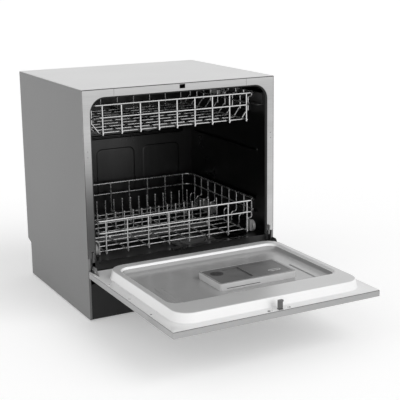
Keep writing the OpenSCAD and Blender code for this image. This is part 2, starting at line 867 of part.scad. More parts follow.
module hinge_brackets() {
    color("#77797c") both_sides() difference() {
        union() {
            ear(ear_mid_x + ear_gap / 2);
            ear(ear_mid_x - ear_gap / 2 - hinge_plate_t);
            block([pocket_x0, bracket_y, bracket_z0],
                [pocket_x1, bracket_y + hinge_plate_t, frame_leg_z]);
            block([pocket_x1 - hinge_plate_t, bracket_y, bracket_z0],
                [pocket_x1, bracket_y + bracket_l, frame_leg_z]);
        }
        translate([pocket_x0 - over, hinge_y, hinge_z]) rotate([0, 90, 0])
            cylinder(d = hinge_pin_d, h = pocket_x1 - pocket_x0 + 2 * over);
    }
}

module hinge_pins() {
    color("#c9c9c9") both_sides()
        translate([ear_mid_x - ear_gap / 2 - hinge_plate_t, hinge_y, hinge_z])
            rotate([0, 90, 0]) cylinder(d = hinge_pin_d, h = ear_gap + 2 * hinge_plate_t);
}

latch_z = cab_h - latch_drop;
strike_bar_d = 3;
strike_back = 6;
strike_y = sheet_t + strike_back;
strike_t = 1.5;

module latch_strike() {
    color("#b0b0b0") {
        for (s = [-1, 1]) translate([s * (latch_slot_w / 2 + strike_t) - strike_t / 2, 0, 0])
            block([0, sheet_t, latch_z - latch_slot_h / 2],
                [strike_t, strike_y + strike_bar_d, top_under - top_reveal]);
        bar([-latch_slot_w / 2 - strike_t, strike_y, latch_z + latch_hook_t / 2 + slide_clear
                + strike_bar_d / 2], [latch_slot_w / 2 + strike_t, strike_y, latch_z
                + latch_hook_t / 2 + slide_clear + strike_bar_d / 2], strike_bar_d);
    }
}

screw_top_share = 0.7;

// A pan-head screw whose axis is Z, with its head above the face
module screw(head_d, head_h, shank_d, shank_l) {
    cylinder(d1 = head_d, d2 = head_d * screw_top_share, h = head_h);
    translate([0, 0, -shank_l]) cylinder(d = shank_d, h = shank_l + head_h / 2);
}

screw_d = 4;
screw_head_d = 7;
screw_head_h = 1.4;
screw_l = 6;
small_screw_d = 2;
small_head_d = 3.5;
small_head_h = 0.7;
frame_screw_x = [frame_side_w / 2 - half_w, half_w - frame_side_w / 2];
frame_screw_drop = 154;
frame_screw_pitch = 14;
frame_screw_z = [for (i = [1, 0]) cab_h - frame_screw_drop - i * frame_screw_pitch];
screw_inset = 16;
back_screw_x = half_w - screw_inset;
back_screw_z = spread(recess_floor_z + screw_inset, top_under - 2 * screw_inset, 3);

module cabinet_screws() {
    color("#9c9c9c") {
        for (x = frame_screw_x, z = frame_screw_z) translate([x, 0, z]) rotate([90, 0, 0])
            screw(small_head_d, small_head_h, small_screw_d, screw_l);
        for (s = [-1, 1], z = back_screw_z) translate([s * back_screw_x, cab_d, z])
            rotate([-90, 0, 0]) screw(screw_head_d, screw_head_h, screw_d, screw_l);
    }
}

// SPRAY ARMS

arm_rim = 3;
arm_hub_d = 52;
nozzles = 5;
nozzle_d = 5;
nozzle_depth = 3;
nozzle_shift = 12;

// One blade's plan at a given inset, from the hub to the tip
module blade_layer(l, inset, z, h) {
    translate([arm_hub_d / 2, 0, z]) cylinder(d = arm_w - 2 * inset, h = h, $fn = hull_fn);
    translate([l / 2 - arm_tip_w / 2, 0, z])
        cylinder(d = arm_tip_w - 2 * inset, h = h, $fn = hull_fn);
}

// An arm in two blades about a hub; the bore turns on a post
module spray_arm(l) {
    difference() {
        union() {
            for (a = [0, 180]) rotate(a) hull() {
                blade_layer(l, 0, arm_rim, arm_t - 2 * arm_rim);
                blade_layer(l, arm_rim, 0, arm_t);
            }
            cylinder(d = arm_hub_d, h = arm_t);
        }
        translate([0, 0, -over]) cylinder(d = post_d + 2 * run_clear, h = arm_t + 2 * over);
        for (a = [0, 180], n = [1:nozzles]) rotate(a)
            translate([arm_hub_d / 2 + n * (l / 2 - arm_hub_d / 2) / (nozzles + 1),
                    (n % 2 - 1 / 2) * nozzle_shift, arm_t - nozzle_depth])
                cylinder(d = nozzle_d, h = nozzle_depth + over, $fn = wire_fn);
    }
}

module lower_spray_arm() {
    color("#5d6063") translate([0, hub_y, low_arm_z]) spray_arm(low_arm_l);
}

up_arm_z = dock_z - pipe_d / 2 - arm_gap - arm_t;

module upper_spray_arm() {
    color("#5d6063") translate([0, rack_mid_y, up_arm_z]) spray_arm(up_arm_l);
}

// DOOR

skin = 0.5;

// The raised panel of the liner, smaller at its top by its slope
module plateau(inset, top) {
    module plate(i) {
        translate([i - plateau_half, i - plateau_v1, 0]) linear_extrude(skin)
            round_rect(2 * (plateau_half - i), plateau_v1 - plateau_v0 - 2 * i, plateau_r - i,
                $fn = hull_fn);
    }
    hull() {
        translate([0, 0, -liner_t]) plate(inset);
        translate([0, 0, top - skin]) plate(inset + plateau_slope);
    }
}

// The recess in the raised panel, wider at its top by its slope
module pocket(grow, floor_z, top) {
    module plate(i) {
        translate([i - pocket_half - grow, i - pocket_v1 - grow, 0]) linear_extrude(skin)
            round_rect(2 * (pocket_half + grow - i), pocket_v1 - pocket_v0 + 2 * (grow - i),
                pocket_r + grow - i, $fn = hull_fn);
    }
    hull() {
        translate([0, 0, floor_z]) plate(pocket_slope);
        translate([0, 0, top]) plate(0);
    }
}

// Holes in the liner's rim and the outer panel's lower edge for the hinges
hinge_hole_w = ear_gap + 2 * hinge_plate_t + 2 * slide_clear;

module hinge_holes(z0, z1) {
    both_sides() block([ear_mid_x - hinge_hole_w / 2, -hinge_up - ear_r - slide_clear, z0],
        [ear_mid_x + hinge_hole_w / 2, over, z1]);
    both_sides() block([ear_mid_x - hinge_plate_t / 2 - slide_clear,
            -hinge_up - hinge_web_l - slide_clear, z0],
        [ear_mid_x + hinge_plate_t / 2 + slide_clear, over, z1]);
}

latch_v = latch_z - door_bottom;
latch_hole_l = 12;

module latch_hole(z0, z1) {
    block([-latch_hook_w / 2 - slide_clear, -latch_v - latch_hole_l / 2, z0],
        [latch_hook_w / 2 + slide_clear, -latch_v + latch_hole_l / 2, z1]);
}

// Ears under the liner in which the latch hook turns
latch_ear_t = 3;
latch_ear_x = latch_hook_w / 2 + slide_clear;

// Room in the outer panel's fold for the latch
latch_window_w = 2 * (latch_ear_x + latch_ear_t + slide_clear);
latch_window_l = 14;

module latch_window(z0, z1) {
    block([-latch_window_w / 2, -latch_v - latch_window_l / 2, z0],
        [latch_window_w / 2, -latch_v + latch_window_l / 2, z1]);
}

module latch_ears() {
    both_sides() difference() {
        block([latch_ear_x, -latch_v - hook_pin_d, hook_pivot_z - hook_pin_d],
            [latch_ear_x + latch_ear_t, -latch_v + hook_pin_d, -liner_t / 2]);
        translate([0, -latch_v, hook_pivot_z]) rotate([0, 90, 0])
            cylinder(d = hook_pin_d + 2 * run_clear, h = latch_window_w);
    }
}

module door_liner() {
    color("#dcdcdc") on_door() difference() {
        union() {
            block([sheet_t - half_w, sheet_t - door_l, -liner_t],
                [half_w - sheet_t, -sheet_t, 0]);
            difference() {
                plateau(0, plateau_h);
                pocket(0, plateau_h - pocket_depth, plateau_h);
            }
        }
        difference() {
            plateau(liner_t, plateau_h - liner_t);
            pocket(liner_t, plateau_h - pocket_depth - liner_t, plateau_h);
        }
        hinge_holes(-liner_t - over, over);
        latch_hole(-liner_t - over, over);
        door_screw_holes();
    }
    color("#dcdcdc") on_door() latch_ears();
}

module door_outer_panel() {
    color("#a4a4a4") on_door() difference() {
        block([-half_w, -door_l, -door_t], [half_w, 0, 0]);
        block([sheet_t - half_w, sheet_t - door_l, sheet_t - door_t],
            [half_w - sheet_t, -sheet_t, -liner_t - sheet_t]);
        block([sheet_t - half_w, sheet_t - door_l, -liner_t],
            [half_w - sheet_t, -sheet_t, over]);
        block([door_flange_w - half_w, door_flange_w - door_l, -liner_t - sheet_t - over],
            [half_w - door_flange_w, -door_flange_w, over]);
        latch_window(-liner_t - sheet_t - over, over);
        door_screw_holes();
        hinge_holes(sheet_t - door_t + slide_clear, over);
        block([-strip_w / 2, -strip_v - strip_h / 2, -door_t - over],
            [strip_w / 2, -strip_v + strip_h / 2, sheet_t - door_t + over]);
    }
}

// Each arm turns on the hinge pin and runs along the door's side
module hinge_arms() {
    color("#6c6e71") both_sides() translate([ear_mid_x - hinge_plate_t / 2, 0, 0])
        difference() {
            union() {
                translate([0, hinge_y, hinge_z]) rotate([0, 90, 0])
                    cylinder(r = ear_r, h = hinge_plate_t);
                block([0, hinge_y - hinge_arm_l, hinge_z - ear_r],
                    [hinge_plate_t, hinge_y, rim_z - liner_t - sheet_t - slide_clear]);
                yz_plate(0, hinge_plate_t) polygon([[hinge_y, hinge_z],
                    [hinge_y + ear_r, hinge_z], [hinge_y + ear_r, rim_z + hinge_web_h / 2],
                    [hinge_y, rim_z + hinge_web_h],
                    [hinge_y - hinge_web_l / 2, rim_z + hinge_web_h],
                    [hinge_y - hinge_web_l, rim_z - liner_t], [hinge_y - hinge_web_l, hinge_z]]);
            }
            translate([-over, hinge_y, hinge_z]) rotate([0, 90, 0])
                cylinder(d = hinge_pin_d + 2 * run_clear, h = hinge_plate_t + 2 * over);
        }
}

// DISPENSER

disp_z = plateau_h - pocket_depth;
disp_top = disp_z + disp_h;
disp_r = 6;
lid_edge = 10;
lid_x = disp_x + disp_w / 2 - lid_w / 2 - lid_edge;
cap_edge = 14;
cap_x = disp_x - disp_w / 2 + cap_d / 2 + cap_edge;
cap_v = disp_v - disp_l / 6;
cap_t = 4;
lid_gap = 0.3;
chamber_inset = 12;

module dispenser_body() {
    color("#5f6163") on_door() difference() {
        translate([disp_x - disp_w / 2, -disp_v - disp_l / 2, disp_z]) linear_extrude(disp_h)
            round_rect(disp_w, disp_l, disp_r);
        block([lid_x - lid_w / 2 - lid_travel - slide_clear, -disp_v - lid_l / 2 - slide_clear,
                disp_top - lid_t - lid_gap],
            [lid_x + lid_w / 2 + slide_clear, -disp_v + lid_l / 2 + slide_clear,
                disp_top + over]);
        block([lid_x - lid_w / 2 + chamber_inset, -disp_v - lid_l / 2 + chamber_inset,
                disp_top - lid_t - chamber_depth],
            [lid_x + lid_w / 2 - chamber_inset, -disp_v + lid_l / 2 - chamber_inset,
                disp_top + over]);
        translate([cap_x, -cap_v, disp_top - cap_t])
            cylinder(d = cap_d + 2 * slide_clear, h = cap_t + over);
    }
}

lid_grip_l = 34;
lid_grip_w = 11;
lid_grip_h = 1;

module dispenser_lid() {
    color("#6a6c6e") on_door() translate([lid_x, -disp_v, disp_top - lid_t]) {
        block([-lid_w / 2, -lid_l / 2, 0], [lid_w / 2, lid_l / 2, lid_t]);
        translate([lid_w / 6 - lid_grip_l / 2, -lid_l / 3 - lid_grip_w / 2, lid_t])
            linear_extrude(lid_grip_h)
                round_rect(lid_grip_l, lid_grip_w, lid_grip_w / 2 - slide_clear);
    }
}

module rinse_aid_cap() {
    color("#4c4e50") on_door() translate([cap_x, -cap_v, disp_top - cap_t + lid_gap]) {
        cylinder(d = cap_d, h = cap_t - lid_gap);
        block([-cap_d / 3, -lid_grip_h, cap_t - lid_gap],
            [cap_d / 3, lid_grip_h, cap_t - lid_gap + lid_grip_h]);
    }
}

// LATCH

hook_pivot_z = -door_t / 2;
hook_pin_d = 4;
hook_pin_end = 4;
barb_h = 3;
barb_l = 4;

module latch_hook() {
    color("#6f7274") on_door() translate([-latch_hook_w / 2, -latch_v, 0]) {
        block([0, -latch_hook_t / 2, hook_pivot_z],
            [latch_hook_w, latch_hook_t / 2, latch_hook_h]);
        block([0, -latch_hook_t / 2 - barb_h, latch_hook_h - barb_l],
            [latch_hook_w, 0, latch_hook_h]);
        translate([-hook_pin_end, 0, hook_pivot_z]) rotate([0, 90, 0])
            cylinder(d = hook_pin_d, h = latch_hook_w + 2 * hook_pin_end);
    }
}

// CONTROLS

strip_v = door_l - strip_drop - strip_h / 2;
grip_share = 0.55;
grip_h = strip_h * grip_share;
grip_depth = door_t * grip_share;
button_edge = 6;
button_count = 3;
grip_w = strip_w - 2 * (button_count * button_pitch + grip_gap);
button_x0 = strip_w / 2 - button_pitch / 2 - button_edge;
button_l = 8;
board_t = 1.6;
board_gap = 4;
board_z = -liner_t - board_t - board_gap;
board_w = strip_w / 2 - grip_w / 2 - 6 * strip_t;
strip_lip = 3;

module control_strip() {
    color("#1b1b1d") on_door() difference() {
        union() {
            block([slide_clear - strip_w / 2, slide_clear - strip_v - strip_h / 2, -door_t],
                [strip_w / 2 - slide_clear, -strip_v + strip_h / 2 - slide_clear,
                    strip_t - door_t]);
            // Lip behind the outer panel
            block([-strip_w / 2 - strip_lip, -strip_v - strip_h / 2 - strip_lip, sheet_t - door_t],
                [strip_w / 2 + strip_lip, -strip_v + strip_h / 2 + strip_lip, strip_t - door_t]);
            block([-grip_w / 2 - strip_t, -strip_v - grip_h / 2 - strip_t / 2, -door_t],
                [grip_w / 2 + strip_t, -strip_v + grip_h / 2 + strip_t / 2,
                    grip_depth + strip_t / 2 - door_t]);
        }
        block([-grip_w / 2, -strip_v - grip_h / 2, -door_t - over],
            [grip_w / 2, -strip_v + grip_h / 2, grip_depth - door_t]);
        for (i = [0:button_count - 1]) translate([button_x0 - i * button_pitch, -strip_v, -door_t - over])
            cylinder(d = button_d + 2 * slide_clear, h = strip_t + 2 * over);
    }
}

module control_board() {
    color("#2f6b3f") on_door() {
        block([grip_w / 2 + 2 * strip_t, -strip_v - strip_h / 3, board_z],
            [grip_w / 2 + 2 * strip_t + board_w, -strip_v + strip_h / 3, board_z + board_t]);
        for (x = [grip_w / 2 + 3 * strip_t, grip_w / 2 + strip_t + board_w], s = [-1, 1])
            translate([x, -strip_v + s * strip_h / 4, strip_t - door_t])
                cylinder(d = screw_d, h = board_z - strip_t + door_t + board_t / 2,
                    $fn = wire_fn);
    }
}

// A button with a flange inside, which keeps it in its hole
module push_button(i) {
    on_door() translate([button_x0 - i * button_pitch, -strip_v, -door_t - button_proud]) {
        cylinder(d = button_d, h = button_l - over);
        translate([0, 0, button_proud + strip_t + run_clear])
            cylinder(d = button_d + 2 * button_proud, h = over);
    }
}

module power_button() {
    color("#c8c8c8") push_button(0);
}

module program_button() {
    color("#c8c8c8") push_button(1);
}

module start_button() {
    color("#c8c8c8") push_button(2);
}

screw_rim = 5;
latch_screw_x = 22;
door_screw_places = [for (x = [-latch_screw_x, latch_screw_x]) [x, -latch_v],
    for (s = [-1, 1], share = [1 / 4, 1 / 2, 3 / 4]) [s * (half_w - screw_rim), -door_l * share]];

module door_screw_holes() {
    for (p = door_screw_places) translate([p[0], p[1], -liner_t - sheet_t - over])
        cylinder(d = screw_d + 2 * run_clear, h = liner_t + sheet_t + 2 * over);
}

module door_screws() {
    color("#a8a8a8") on_door() for (p = door_screw_places) translate([p[0], p[1], 0])
        screw(screw_head_d, screw_head_h, screw_d, screw_l);
}

// RACKS

// Evenly spaced places between two ends, both included
function spread(a, b, n) = [for (i = [0:n - 1]) a + (b - a) * i / (n - 1)];

bars_inset = 30;
low_bars_half = low_half - bars_inset;
low_bar_count = 8;
side_bar_count = 9;
low_front_x = spread(-low_bars_half, low_bars_half, low_bar_count);
side_y = spread(rack_front + rim_bend + wire_d, rack_back - rim_bend - wire_d, side_bar_count);

// Bars of the floor run both ways and cross in one layer of welds
module floor_grille(half, z, xs, ys) {
    for (y = ys) bar([-half, y, z], [half, y, z], wire_d, $fn = wire_fn);
    for (x = xs) bar([x, rack_front, z + wire_d - weld], [x, rack_back, z + wire_d - weld],
        wire_d, $fn = wire_fn);
}

// Rings on the floor in which a row of tines turns
module tine_rings(y) {
    for (x = [low_front_x[1], low_front_x[6]]) translate([x - ring_w / 2, y, tine_z])
        rotate([0, 90, 0]) difference() {
            cylinder(d = wire_d + 2 * ring_wall, h = ring_w);
            translate([0, 0, -over]) cylinder(d = wire_d + 2 * run_clear, h = ring_w + 2 * over);
        }
}

tine_z = low_floor_z + wire_d - weld + wire_d + wheel_clear;
ring_w = 6;
ring_wall = 2.2;

module lower_rack_floor() {
    color("#cfcfcf") {
        difference() {
            floor_grille(low_in_half, low_floor_z, low_front_x, side_y);
            for (y = [tines_front_y, tines_rear_y]) translate([-low_half, rack_front + y, tine_z])
                rotate([0, 90, 0]) cylinder(d = wire_d + 2 * run_clear, h = 2 * low_half);
        }
        for (y = [tines_front_y, tines_rear_y]) tine_rings(rack_front + y);
    }
}

// The front or back of a rack: rim, rail and upright bars
module end_grille(y, xs, half, rail_half, rim, rail, z0) {
    s = y < rack_mid_y ? 1 : -1;
    bar_y = y + s * (wire_d - weld);
    end_y = y + s * (rim_bend + weld);
    for (level = [[rim, rim_d, half], [rail, wire_d, rail_half]])
        wire([[-level[2], end_y, level[0]], [-level[2], y, level[0]], [level[2], y, level[0]],
                [level[2], end_y, level[0]]], level[1], rim_bend);
    for (x = xs) bar([x, bar_y, z0 - wire_d / 2], [x, bar_y, rim], wire_d, $fn = wire_fn);
}

// One side of a rack: rim, rail and the side wires along a given outline
module side_grille(half, rim, rail, outline, bend) {
    y0 = rack_front + rim_bend + weld;
    y1 = rack_back - rim_bend - weld;
    bar([half, y0, rim], [half, y1, rim], rim_d, $fn = wire_fn);
    bar([rail[0], y0, rail[1]], [rail[0], y1, rail[1]], wire_d, $fn = wire_fn);
    for (y = side_y) wire([for (p = outline) [p[0], y, p[1]]], wire_d, bend);
}

module lower_rack_front() {
    color("#cfcfcf") end_grille(rack_front, low_front_x, low_half, low_half, low_rim_z,
        low_rail_z, low_floor_z);
}

module lower_rack_back() {
    color("#cfcfcf") end_grille(rack_back, low_front_x, low_half, low_half, low_rim_z,
        low_rail_z, low_floor_z);
}

jog_bend_share = 0.4;

module lower_rack_sides() {
    color("#cfcfcf") both_sides() side_grille(low_half, low_rim_z, [low_half, low_rail_z],
        [[low_half, low_rim_z], [low_half, low_jog_z], [low_in_half, low_jog_z],
            [low_in_half, low_floor_z]], low_jog * jog_bend_share);
}

// Plates that carry the wheels' axles
bracket_r = 12;

module carrier(x0, y_list, axle_h, z0, z1, x_end) {
    block([x0, y_list[0] - bracket_r, z0],
        [x0 + weld + bracket_t, y_list[len(y_list) - 1] + bracket_r, z1]);
    for (y = y_list) bar([x0, y, axle_h], [x_end, y, axle_h], axle_d);
}

module lower_wheel_brackets() {
    color("#303033") both_sides()
        for (group = [[wheel_front], [wheel_mid, wheel_rear]])
            carrier(low_in_half + wire_d / 2 - weld, [for (y = group) rack_front + y], axle_z,
                axle_z - bracket_r, low_jog_z - wire_d / 2 - slide_clear, low_half);
}

// A wheel with a tyre groove and a deep hub, turning about X
module wheel(d, w, x0) {
    translate([x0, 0, 0]) rotate([0, 90, 0]) difference() {
        cylinder(d = d, h = w);
        translate([0, 0, w * wheel_dish_share]) difference() {
            cylinder(d = d - 2 * tyre_t, h = w);
            cylinder(d = axle_d + 2 * hub_wall, h = w);
        }
        translate([0, 0, -over]) cylinder(d = axle_d + 2 * run_clear, h = w + 2 * over);
    }
}

tyre_t = 4;
hub_wall = 2.5;
wheel_dish_share = 0.5;

module lower_wheels(y) {
    color("#4b4b4e") both_sides() translate([0, rack_front + y, axle_z])
        wheel(wheel_d, wheel_w, wheel_x - wheel_w / 2);
}

module lower_wheels_front() {
    lower_wheels(wheel_front);
}

module lower_wheels_middle() {
    lower_wheels(wheel_mid);
}

module lower_wheels_rear() {
    lower_wheels(wheel_rear);
}

tine_d = 3.4;
tine_count = floor(2 * low_bars_half / tine_pitch) - 1;
tine_half = (tine_count - 1) * tine_pitch / 2;

module tine_row(y) {
    color("#d6d6d6") {
        bar([-tine_half - tine_pitch, y, tine_z], [tine_half + tine_pitch, y, tine_z], wire_d);
        for (i = [0:tine_count - 1]) bar([i * tine_pitch - tine_half, y, tine_z],
            [i * tine_pitch - tine_half, y, tine_z + tine_h], tine_d, $fn = wire_fn);
    }
}

module front_tines() {
    tine_row(rack_front + tines_front_y);
}

module rear_tines() {
    tine_row(rack_front + tines_rear_y);
}

up_slope_w = 20;
up_slope_drop = 52;
up_slope_z = up_rim_z - up_slope_drop;
up_floor_half = up_in_half - up_slope_w;
up_rail_half = up_in_half - wire_d + weld;
up_bar_count = 9;
up_front_x = spread(-up_floor_half, up_floor_half, up_bar_count);

module upper_rack_floor() {
    color("#dadada") floor_grille(up_floor_half, up_floor_z, up_front_x, side_y);
}

module upper_rack_front() {
    color("#dadada") end_grille(rack_front, up_front_x, up_half, up_rail_half, up_rim_z,
        up_rail_z, up_floor_z);
}

module upper_rack_back() {
    color("#dadada") end_grille(rack_back, up_front_x, up_half, up_rail_half, up_rim_z,
        up_rail_z, up_floor_z);
}

// Sloped wires, welded beside the upright ones, lead down to the floor
module upper_rack_sides() {
    lap = wire_d - weld;
    color("#dadada") both_sides() {
        side_grille(up_half, up_rim_z, [up_rail_half, up_rail_z],
            [[up_half, up_rim_z], [up_half, up_jog_z], [up_in_half, up_jog_z],
                [up_in_half, up_slope_z]], up_jog * jog_bend_share);
        for (y = side_y) bar([up_in_half, y + lap, up_slope_z + wire_d],
            [up_floor_half, y + lap, up_floor_z], wire_d, $fn = wire_fn);
    }
}

roller_y = [roller_front, roller_front + roller_gap, roller_rear];

// A fixed guide behind the rear roller keeps the rack level when it is out
guide_gap = 4;
guide_l = 16;

module upper_roller_brackets() {
    color("#e2e2e2") both_sides() {
        for (group = [[roller_y[0], roller_y[1]], [roller_y[2]]])
            carrier(up_in_half + wire_d / 2 - weld, [for (y = group) rack_front + y], roller_z,
                roller_z - bracket_r, up_jog_z - wire_d / 2 - slide_clear,
                roller_x + roller_w / 2 + slide_clear);
        translate([0, rack_front + roller_rear + roller_r + guide_gap, 0]) {
            block([roller_x - roller_w / 2, 0, roller_z - roller_r],
                [roller_x + roller_w / 2, guide_l, roller_z + roller_r]);
            block([up_in_half + wire_d / 2, -bracket_r, roller_z - bracket_r],
                [up_in_half + wire_d / 2 + bracket_t, guide_l, roller_z]);
            block([up_in_half + wire_d / 2, 0, roller_z - bracket_r],
                [roller_x, guide_l, roller_z]);
        }
    }
}

module upper_rollers(i) {
    color("#ececec") both_sides() translate([0, rack_front + roller_y[i], roller_z])
        wheel(roller_d, roller_w, roller_x - roller_w / 2);
}

module upper_rollers_front() {
    upper_rollers(0);
}

module upper_rollers_middle() {
    upper_rollers(1);
}

module upper_rollers_rear() {
    upper_rollers(2);
}

module upper_manifold() {
    color("#45474a") {
        bar([0, rack_mid_y - arm_hub_d / 2, dock_z],
            [0, tub_back_y - dock_l - slide_clear, dock_z], pipe_d);
        translate([0, rack_mid_y, up_arm_z + arm_t + wheel_clear])
            cylinder(d = collar_d, h = dock_z - up_arm_z - arm_t - wheel_clear);
        translate([0, rack_mid_y, up_arm_z - wheel_clear - collar_t])
            cylinder(d = post_d, h = dock_z - up_arm_z + wheel_clear + collar_t);
        translate([0, rack_mid_y, up_arm_z - wheel_clear - collar_t])
            cylinder(d = collar_d, h = collar_t);
    }
}

top_panel();
left_side_panel();
right_side_panel();
back_panel();
base_pan();
feet();
kick_plate();
front_frame();
tub_wrapper();
tub_back();
tub_floor();
door_seal();
sump();
filter_plate();
filter_cup();
wash_pump();
drain_pump();
heater();
feed_pipe();
inlet_valve();
cord_gland();
upper_rails();
hinge_brackets();
hinge_pins();
latch_strike();
cabinet_screws();
lower_spray_arm();
door_outer_panel();
door_liner();
hinge_arms();
dispenser_body();
dispenser_lid();
rinse_aid_cap();
latch_hook();
control_strip();
control_board();
power_button();
program_button();
start_button();
door_screws();
upper_rack_floor();
upper_rack_front();
upper_rack_back();
upper_rack_sides();
upper_roller_brackets();
upper_rollers_front();
upper_rollers_middle();
upper_rollers_rear();
upper_manifold();
upper_spray_arm();
lower_rack_floor();
lower_rack_front();
lower_rack_back();
lower_rack_sides();
lower_wheel_brackets();
lower_wheels_front();
lower_wheels_middle();
lower_wheels_rear();
front_tines();
rear_tines();
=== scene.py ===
import json
import math

import bmesh
import bpy
from mathutils import Euler, Matrix, Vector

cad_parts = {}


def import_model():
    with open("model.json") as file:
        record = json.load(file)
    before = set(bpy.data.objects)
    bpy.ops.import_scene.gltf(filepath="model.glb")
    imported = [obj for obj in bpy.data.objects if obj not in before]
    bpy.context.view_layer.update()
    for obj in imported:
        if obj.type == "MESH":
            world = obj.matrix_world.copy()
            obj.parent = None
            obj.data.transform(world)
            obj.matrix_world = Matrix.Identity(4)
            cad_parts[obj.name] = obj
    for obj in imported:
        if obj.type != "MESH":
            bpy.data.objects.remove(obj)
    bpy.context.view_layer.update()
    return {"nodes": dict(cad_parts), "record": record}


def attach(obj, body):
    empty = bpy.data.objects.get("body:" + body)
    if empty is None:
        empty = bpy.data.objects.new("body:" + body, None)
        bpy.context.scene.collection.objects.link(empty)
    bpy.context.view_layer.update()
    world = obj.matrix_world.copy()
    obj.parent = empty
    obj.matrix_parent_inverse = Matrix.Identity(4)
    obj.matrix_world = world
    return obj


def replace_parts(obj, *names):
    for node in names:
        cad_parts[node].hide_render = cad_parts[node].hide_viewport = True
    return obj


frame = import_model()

MM = 0.001

# Real sizes of the machine, in millimetres, as its frame has them
HALF_W = 275.0
SHEET = 1.2
BACK_Y = 478.0
HINGE_X = 265.0
DOOR_BACK_Y = -3.0
DOOR_L = 478.0
DOOR_T = 16.0
DOOR_MID_Y = DOOR_BACK_Y - DOOR_L / 2
RIM_Z = 132.0
TRACK_Z = 155.0
# The liner's raised panel and its recess: half width, middle and half length
PANEL_HALF, PANEL_Y, PANEL_L = 250.0, -250.4, 205.9
WELL_HALF, WELL_Y, WELL_L = 229.0, -226.9, 152.4
WELL_Z = 140.0
WELL_EDGE = 2.5
TUB_HALF = 255.0
TUB_TOP = 573.8
TUB_R = 40.0
TUB_Y0 = 1.2
TUB_Y1 = 452.0
HOSE_Z = 60
# Edges that turn by more than this, in degrees, are shaded sharp or get a small radius
SHARP_ANGLE = 38
EASED_ANGLE = 40


def tone(level):
    """A grey as a screen shows it, 0 to 255, as a linear colour."""
    share = level / 255
    linear = share / 12.92 if share <= 0.04045 else ((share + 0.055) / 1.055) ** 2.4
    return (linear, linear, linear, 1.0)


# Materials


class Look:
    """A procedural finish: one principled shader, fed by textures in the piece's own coordinates."""

    def __init__(self, name, level, metallic=0.0, roughness=0.5, **sockets):
        self.material = bpy.data.materials.new(name)
        self.material.use_nodes = True
        self.tree = self.material.node_tree
        self.shader = self.tree.nodes["Principled BSDF"]
        self.level = level
        self.shader.inputs["Base Color"].default_value = tone(level)
        self.shader.inputs["Metallic"].default_value = metallic
        self.shader.inputs["Roughness"].default_value = roughness
        for socket, value in sockets.items():
            self.shader.inputs[socket.replace("_", " ")].default_value = value
        self.place = self.tree.nodes.new("ShaderNodeTexCoord").outputs["Object"]
        self.height = None

    def node(self, kind, **values):
        made = self.tree.nodes.new(kind)
        for key, value in values.items():
            setattr(made, key, value)
        return made

    def join(self, output, target):
        self.tree.links.new(output, target)

    def noise(self, scale, detail=3.0, stretch=(1.0, 1.0, 1.0), roughness=0.5):
        """Noise of a given scale, finer along the axes that are stretched more."""
        turn = self.node("ShaderNodeMapping")
        turn.inputs["Scale"].default_value = stretch
        self.join(self.place, turn.inputs["Vector"])
        made = self.node("ShaderNodeTexNoise")
        made.inputs["Scale"].default_value = scale
        made.inputs["Detail"].default_value = detail
        made.inputs["Roughness"].default_value = roughness
        self.join(turn.outputs["Vector"], made.inputs["Vector"])
        return made.outputs["Fac"]

    def spread(self, value, low, high, start=0.3, end=0.7):
        """The same value, mapped onto a range."""
        made = self.node("ShaderNodeMapRange")
        for name, number in (("From Min", start), ("From Max", end), ("To Min", low), ("To Max", high)):
            made.inputs[name].default_value = number
        self.join(value, made.inputs["Value"])
        return made.outputs["Result"]

    def colour(self, value, dark, light, start=0.3, end=0.7):
        """Colours the surface between two greys."""
        made = self.node("ShaderNodeMix", data_type="RGBA")
        made.inputs["A"].default_value = tone(dark)
        made.inputs["B"].default_value = tone(light)
        self.join(self.spread(value, 0.0, 1.0, start, end), made.inputs["Factor"])
        self.join(made.outputs["Result"], self.shader.inputs["Base Color"])
        return self

    def rough(self, value, low, high, start=0.3, end=0.7):
        self.join(self.spread(value, low, high, start, end), self.shader.inputs["Roughness"])
        return self

    def bump(self, value, depth, strength):
        """Relief of a given depth in millimetres, on top of any that is there."""
        made = self.node("ShaderNodeBump")
        made.inputs["Distance"].default_value = depth * MM
        made.inputs["Strength"].default_value = strength
        self.join(value, made.inputs["Height"])
        if self.height:
            self.join(self.height, made.inputs["Normal"])
        self.height = made.outputs["Normal"]
        self.join(self.height, self.shader.inputs["Normal"])
        return self


ALONG = {"x": (0.02, 1.0, 1.0), "y": (1.0, 0.02, 1.0), "z": (1.0, 1.0, 0.02)}


def brushed_steel(name, level, along="x", roughness=0.3, contrast=8):
    """Stainless steel, brushed one way: fine lines, broad soft streaks of tone that are partly random and
    partly a painted sheen in place of brushed reflections, and a few finger smudges.
    """
    look = Look(name, level, metallic=1.0, roughness=roughness)
    lines = look.noise(900, 2.0, ALONG[along])
    # Broad streaks in the colour: partly random tone, partly painted sheen of brushed reflections.
    sheen_streaks = look.noise(14, 2.0, ALONG[along])
    smudges = look.noise(9, 4.0)
    mixed = look.node("ShaderNodeMath", operation="ADD")
    look.join(look.spread(lines, 0.0, 0.35), mixed.inputs[0])
    look.join(look.spread(sheen_streaks, 0.0, 0.65), mixed.inputs[1])
    look.colour(mixed.outputs["Value"], level - contrast, level + contrast, 0.0, 1.0)
    look.rough(smudges, roughness - 0.05, roughness + 0.08)
    return look.bump(lines, 0.03, 0.5).material


